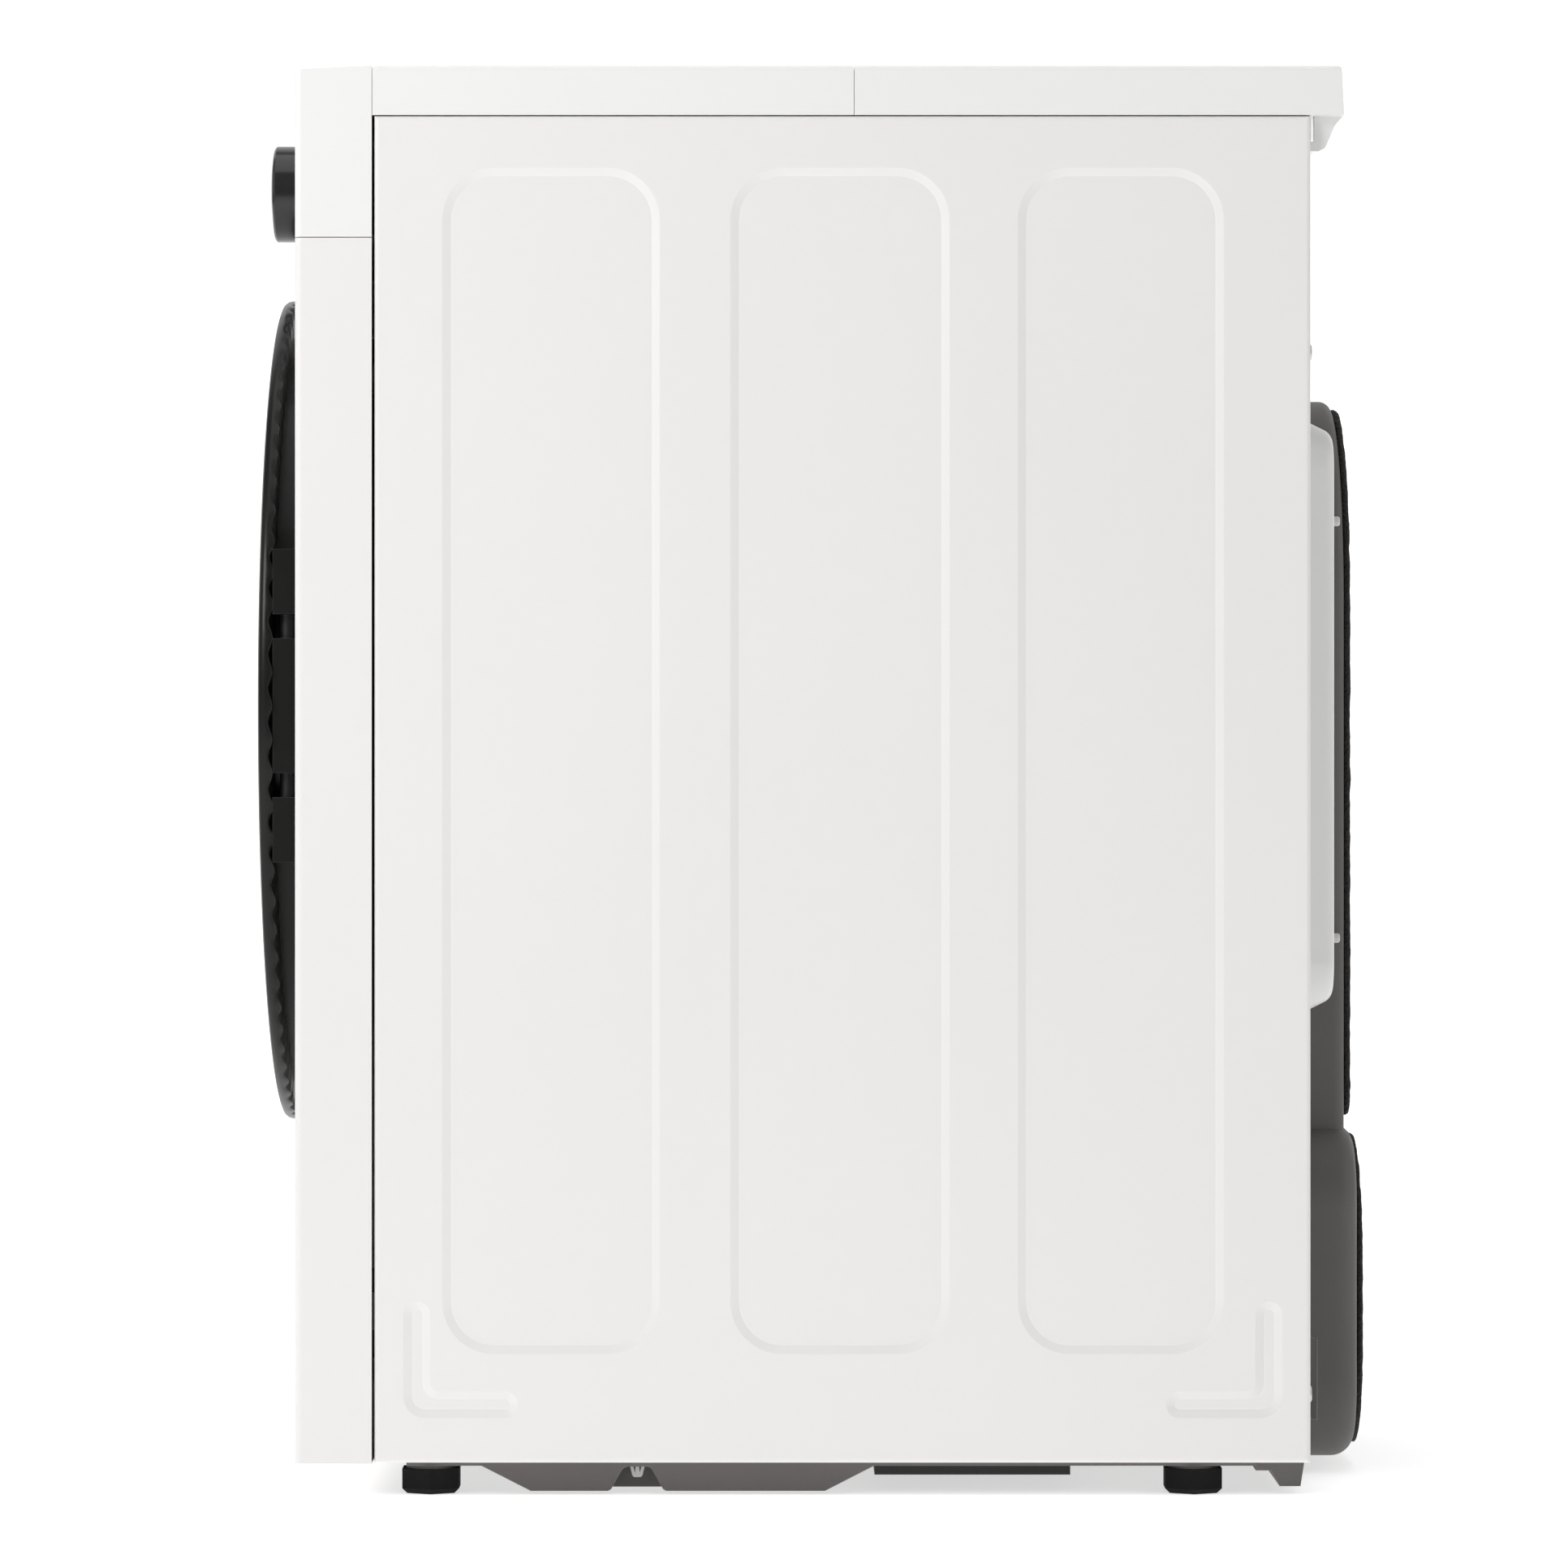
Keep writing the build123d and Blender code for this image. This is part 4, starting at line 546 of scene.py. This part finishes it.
# %% Foam pads
def foam_pad(name, low, high, top_r, bottom_r):
    """A foam slab in the X-Z plane, from corner to corner, with round corners."""
    bpy.ops.object.select_all(action="DESELECT")
    bpy.ops.mesh.primitive_plane_add(size=1, location=((low.x + high.x) / 2, low.y, (low.z + high.z) / 2),
                                     rotation=(math.radians(90), 0, 0))
    pad = bpy.context.object
    pad.name = name
    pad.scale = (high.x - low.x, high.z - low.z, 1)
    bpy.ops.object.transform_apply(location=True, rotation=True, scale=True)
    middle = (low.z + high.z) / 2
    for side, radius in ((1, top_r), (-1, bottom_r)):
        bpy.ops.object.mode_set(mode="EDIT")
        bpy.ops.mesh.select_all(action="DESELECT")
        bpy.ops.object.mode_set(mode="OBJECT")
        reach = max((vertex.co.z - middle) * side for vertex in pad.data.vertices)
        for vertex in pad.data.vertices:
            vertex.select = (vertex.co.z - middle) * side > reach - 0.1 * MM
        bpy.ops.object.mode_set(mode="EDIT")
        bpy.ops.mesh.select_mode(type="VERT")
        bpy.ops.mesh.bevel(affect="VERTICES", offset=radius, segments=20)
    bpy.ops.mesh.select_all(action="SELECT")
    bpy.ops.mesh.extrude_region_move(TRANSFORM_OT_translate={"value": (0, high.y - low.y, 0)})
    bpy.ops.mesh.select_all(action="SELECT")
    bpy.ops.mesh.normals_make_consistent(inside=False)
    bpy.ops.object.mode_set(mode="OBJECT")
    remesh = pad.modifiers.new("cells", "REMESH")
    remesh.mode = "VOXEL"
    remesh.voxel_size = 2.0 * MM
    clouds = bpy.data.textures.new(name + "_clouds", "CLOUDS")
    clouds.noise_scale = 9 * MM
    ragged = pad.modifiers.new("ragged", "DISPLACE")
    ragged.texture = clouds
    ragged.texture_coords = "LOCAL"
    ragged.strength = 1.1 * MM
    ragged.mid_level = 0.6
    for modifier in ("cells", "ragged"):
        bpy.ops.object.modifier_apply(modifier=modifier)
    bpy.ops.object.shade_smooth()
    return pad


cover_low, cover_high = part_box("rear_duct_cover")
pads_low, pads_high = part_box("duct_pads")
THICK = 4.5 * MM          # of each pad
STEP_Z = 214 * MM         # the height of the cover's step, between the pads
PROUD = 4 * MM            # how far the foam stands past the cover's rounded ends
UPPER_HALF = 119 * MM     # half the width of each pad
LOWER_HALF = 142 * MM
upper_pad = foam_pad("upper_foam_pad",
                     Vector((-UPPER_HALF, pads_low.y, STEP_Z + 4 * MM)),
                     Vector((UPPER_HALF, pads_low.y + THICK, pads_high.z + PROUD)),
                     top_r=UPPER_HALF - 1 * MM, bottom_r=20 * MM)
lower_pad = foam_pad("lower_foam_pad",
                     Vector((-LOWER_HALF, cover_high.y, pads_low.z - PROUD)),
                     Vector((LOWER_HALF, cover_high.y + THICK, STEP_Z - 9 * MM)),
                     top_r=78 * MM, bottom_r=66 * MM)
for pad in (upper_pad, lower_pad):
    stands_for(pad, "cabinet", "pad_foam", PAD_FOAM, "duct_pads")
print("foam pad faces:", len(upper_pad.data.polygons), len(lower_pad.data.polygons))

# %% [markdown]
# ## Felt rings
# The drum's lips run on two felt rings. Felt is soft at its edges, so each ring gets a crowned
# section, and noise breaks up its skin.

# %% Felt rings
felt_low, felt_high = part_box("drum_felts")
felt_r = (felt_high.z - felt_low.z) / 2
felt_middle = Vector(((felt_low.x + felt_high.x) / 2, 0, (felt_low.z + felt_high.z) / 2))
FELT_WIDTH = 9 * MM
FELT_THICK = 6.6 * MM
for name, y in (("felt_ring_front", felt_low.y), ("felt_ring_rear", felt_high.y - FELT_WIDTH)):
    inner = felt_r - FELT_THICK
    section = [(inner, y), (inner, y + FELT_WIDTH), (felt_r - 1.5 * MM, y + FELT_WIDTH),
               (felt_r - 0.4 * MM, y + FELT_WIDTH - 1.4 * MM), (felt_r, y + FELT_WIDTH / 2),
               (felt_r - 0.4 * MM, y + 1.4 * MM), (felt_r - 1.5 * MM, y)]
    ring = spun(name, section, felt_middle, 240)
    stands_for(ring, "cabinet", "felt", FELT, "drum_felts")
    print(name, "faces:", len(ring.data.polygons))

# %% [markdown]
# ## The drum's sheet
# A plain tube would ring like a bell, so drum sheets are stiffened by rolled beads. Three
# shallow grooves run round this one, and its lips turn inwards with a rounded shoulder.

# %% Drum sheet
drum_low, drum_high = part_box("drum_shell")
drum_r = (drum_high.z - drum_low.z) / 2
drum_middle = Vector(((drum_low.x + drum_high.x) / 2, 0, (drum_low.z + drum_high.z) / 2))
SHEET = 1 * MM
LIP = 13 * MM
BEAD_SHARES = (0.14, 0.33, 0.86)      # of the drum's length
bead_places = [drum_low.y + share * (drum_high.y - drum_low.y) for share in BEAD_SHARES]
outer = [(drum_r - LIP, drum_low.y), (drum_r - 2 * MM, drum_low.y),
         (drum_r - 0.5 * MM, drum_low.y + 0.6 * MM), (drum_r, drum_low.y + 2 * MM)]
for y in bead_places:
    outer += [(drum_r, y - 6 * MM), (drum_r - 1.6 * MM, y - 3 * MM), (drum_r - 2.2 * MM, y),
              (drum_r - 1.6 * MM, y + 3 * MM), (drum_r, y + 6 * MM)]
outer += [(drum_r, drum_high.y - 2 * MM), (drum_r - 0.5 * MM, drum_high.y - 0.6 * MM),
          (drum_r - 2 * MM, drum_high.y), (drum_r - LIP, drum_high.y)]
half_way = (drum_low.y + drum_high.y) / 2
inner = []
for radius, y in reversed(outer):
    turn = SHEET if y < half_way else -SHEET
    at_end = y in (drum_low.y, drum_high.y)
    lip_edge = radius < drum_r - 5 * MM
    inner.append((radius if lip_edge else radius - SHEET, y + turn if at_end else y))
drum = spun("drum_sheet", outer + inner, drum_middle, 160)
stands_for(drum, "drum", "drum_steel", DRUM_STEEL, "drum_shell")
print("drum sheet faces:", len(drum.data.polygons))

# %% [markdown]
# ## The belt's spring
# The spring hangs between the base's post and the idler arm, so one end stays and the other
# follows the arm. Its coil is right as it is: a copy of it is merged and smoothed, and stands in its place.

# %% Tension spring
bpy.ops.object.select_all(action="DESELECT")
spring = bpy.data.objects.new("spring_coil", NODES["tension_spring"].data.copy())
bpy.context.collection.objects.link(spring)
bpy.context.view_layer.objects.active = spring
spring.select_set(True)
bpy.ops.object.mode_set(mode="EDIT")
bpy.ops.mesh.select_all(action="SELECT")
bpy.ops.mesh.remove_doubles(threshold=0.00001)
bpy.ops.object.mode_set(mode="OBJECT")
bpy.ops.object.shade_smooth_by_angle(angle=math.radians(40))
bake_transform(spring)
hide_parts("tension_spring")
print("spring faces:", len(spring.data.polygons))

# %% [markdown]
# ## Knob, dial and display
# The knob's cap is domed like a watch glass, with a short raised pointer. Fifteen ticks on the
# panel stand for the programmes, and the display shows a time in plain seven-bar digits.

# %% Knob cap
cap_low, cap_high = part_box("knob_cap")
cap_middle = Vector(((cap_low.x + cap_high.x) / 2, 0, (cap_low.z + cap_high.z) / 2))
cap_r = (cap_high.z - cap_low.z) / 2
front = cap_low.y
section = [(0.4 * MM, front), (cap_r * 0.45, front + 0.1 * MM), (cap_r * 0.8, front + 0.45 * MM),
           (cap_r - 1 * MM, front + 1.0 * MM), (cap_r + 0.3 * MM, front + 1.4 * MM),
           (cap_r + 0.9 * MM, front + 1.9 * MM), (cap_r, front + 2.1 * MM), (cap_r, cap_high.y),
           (0.4 * MM, cap_high.y)]
cap = spun("knob_cap_dome", section, cap_middle, 96)
stands_for(cap, "knob", "silver_cap", SILVER, "knob_cap")


def bar(name, low, high, bevel):
    """A small bar between two corners, with bevelled edges."""
    bpy.ops.object.select_all(action="DESELECT")
    bpy.ops.mesh.primitive_cube_add(size=1, location=(Vector(low) + Vector(high)) / 2)
    piece = bpy.context.object
    piece.name = name
    piece.scale = Vector(high) - Vector(low)
    bpy.ops.object.transform_apply(location=True, rotation=True, scale=True)
    bpy.ops.object.mode_set(mode="EDIT")
    bpy.ops.mesh.select_all(action="SELECT")
    bpy.ops.mesh.bevel(offset=bevel, segments=3)
    bpy.ops.object.mode_set(mode="OBJECT")
    bpy.ops.object.shade_smooth_by_angle(angle=math.radians(40))
    return piece


def joined(name, pieces):
    """Several meshes as one."""
    bpy.ops.object.select_all(action="DESELECT")
    for piece in pieces:
        piece.select_set(True)
    bpy.context.view_layer.objects.active = pieces[0]
    bpy.ops.object.join()
    pieces[0].name = name
    bpy.ops.object.transform_apply(location=True, rotation=True, scale=True)
    return pieces[0]


pointer = bar("knob_pointer",
              (cap_middle.x - 0.9 * MM, front + 0.3 * MM, cap_middle.z + cap_r * 0.55),
              (cap_middle.x + 0.9 * MM, front + 2 * MM, cap_middle.z + cap_r - 2.2 * MM), 0.25 * MM)
stands_for(pointer, "knob", "black_gloss", GLOSS_BLACK)

# %% Dial ticks
PANEL_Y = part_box("display_window")[0].y
TICK_ORBIT = 37 * MM      # from the knob's middle
TICKS = 15
TICK_STEP = 18            # degrees from one tick to the next
ticks = []
for number in range(TICKS):
    angle = math.radians((number - (TICKS - 1) / 2) * TICK_STEP)
    tick = bar("tick", (-0.5 * MM, -0.15 * MM, -2 * MM), (0.5 * MM, 0.2 * MM, 2 * MM), 0.1 * MM)
    tick.rotation_euler = (0, angle, 0)
    tick.location = (cap_middle.x + TICK_ORBIT * math.sin(angle), PANEL_Y,
                     cap_middle.z + TICK_ORBIT * math.cos(angle))
    ticks.append(tick)
dial = joined("dial_ticks", ticks)
stands_for(dial, "cabinet", "grey_plastic", GREY_MOULDING)
print("dial ticks:", TICKS)

# %% Display digits
SEGMENTS = {"0": "abcdef", "1": "bc", "3": "abcdg"}
LINES = {"a": (0, 2, True), "g": (0, 1, True), "d": (0, 0, True),
         "f": (0, 1, False), "b": (1, 1, False), "e": (0, 0, False), "c": (1, 0, False)}
DIGIT_W = 9 * MM
DIGIT_H = 9 * MM          # of half a digit
DIGIT_STEP = 17 * MM
STROKE = 1.4 * MM
FIRST_DIGIT = 62 * MM     # from the window's left end
COLON_GAP = 4 * MM        # after the hours
window_low, window_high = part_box("display_window")
middle_z = (window_low.z + window_high.z) / 2
bars = []
for place, digit in enumerate("130"):
    left = window_low.x + FIRST_DIGIT + place * DIGIT_STEP + (COLON_GAP if place else 0)
    for letter in SEGMENTS[digit]:
        column, row, flat = LINES[letter]
        x = left + column * DIGIT_W
        z = middle_z + (row - 1) * DIGIT_H
        size = (DIGIT_W - 1 * MM, STROKE) if flat else (STROKE, DIGIT_H - 1 * MM)
        start = (x + 0.5 * MM, z - STROKE / 2) if flat else (x - STROKE / 2, z + 0.5 * MM)
        bars.append(bar("bar", (start[0], PANEL_Y - 0.12 * MM, start[1]),
                        (start[0] + size[0], PANEL_Y + 0.2 * MM, start[1] + size[1]), 0.08 * MM))
digits = joined("display_digits", bars)
GLOW = Finish("display_glow")
GLOW.surface(Base_Color=(0.8, 0.82, 0.85), Roughness=0.4, Emission_Color=(0.8, 0.9, 1.0),
             Emission_Strength=0.6)
stands_for(digits, "cabinet", "white_plastic", GLOW.material)
print("display bars:", len(bars))

# %% [markdown]
# ## Small plates at the rear edges
# A slim grey plate with a raised rim stands behind each rear edge, low down. It is a bar whose
# broad faces are inset and sunk a little, which leaves the rim standing.

# %% Rear plates
PLATE_X = 262 * MM        # its inner face
PLATE_WIDE = 8 * MM
PLATE_DEEP = 7.5 * MM
PLATE_LOW = 44 * MM
PLATE_HIGH = 93 * MM
rear_y = cover_low.y
for name, side in (("rear_plate_right", 1), ("rear_plate_left", -1)):
    near, far = sorted((side * PLATE_X, side * (PLATE_X + PLATE_WIDE)))
    plate = bar(name, (near, rear_y, PLATE_LOW), (far, rear_y + PLATE_DEEP, PLATE_HIGH), 0.8 * MM)
    bpy.ops.object.mode_set(mode="EDIT")
    bpy.ops.mesh.select_all(action="DESELECT")
    bpy.ops.object.mode_set(mode="OBJECT")
    for face in plate.data.polygons:
        face.select = abs(face.normal.y) > 0.9 or abs(face.normal.x) > 0.9 and face.area > 100 * MM * MM
    bpy.ops.object.mode_set(mode="EDIT")
    bpy.ops.mesh.select_mode(type="FACE")
    bpy.ops.mesh.inset(thickness=1.2 * MM, depth=-0.6 * MM, use_individual=True)
    bpy.ops.object.mode_set(mode="OBJECT")
    stands_for(plate, "cabinet", "grey_plastic", GREY_MOULDING)
print("rear plates stand at", round(rear_y, 4))
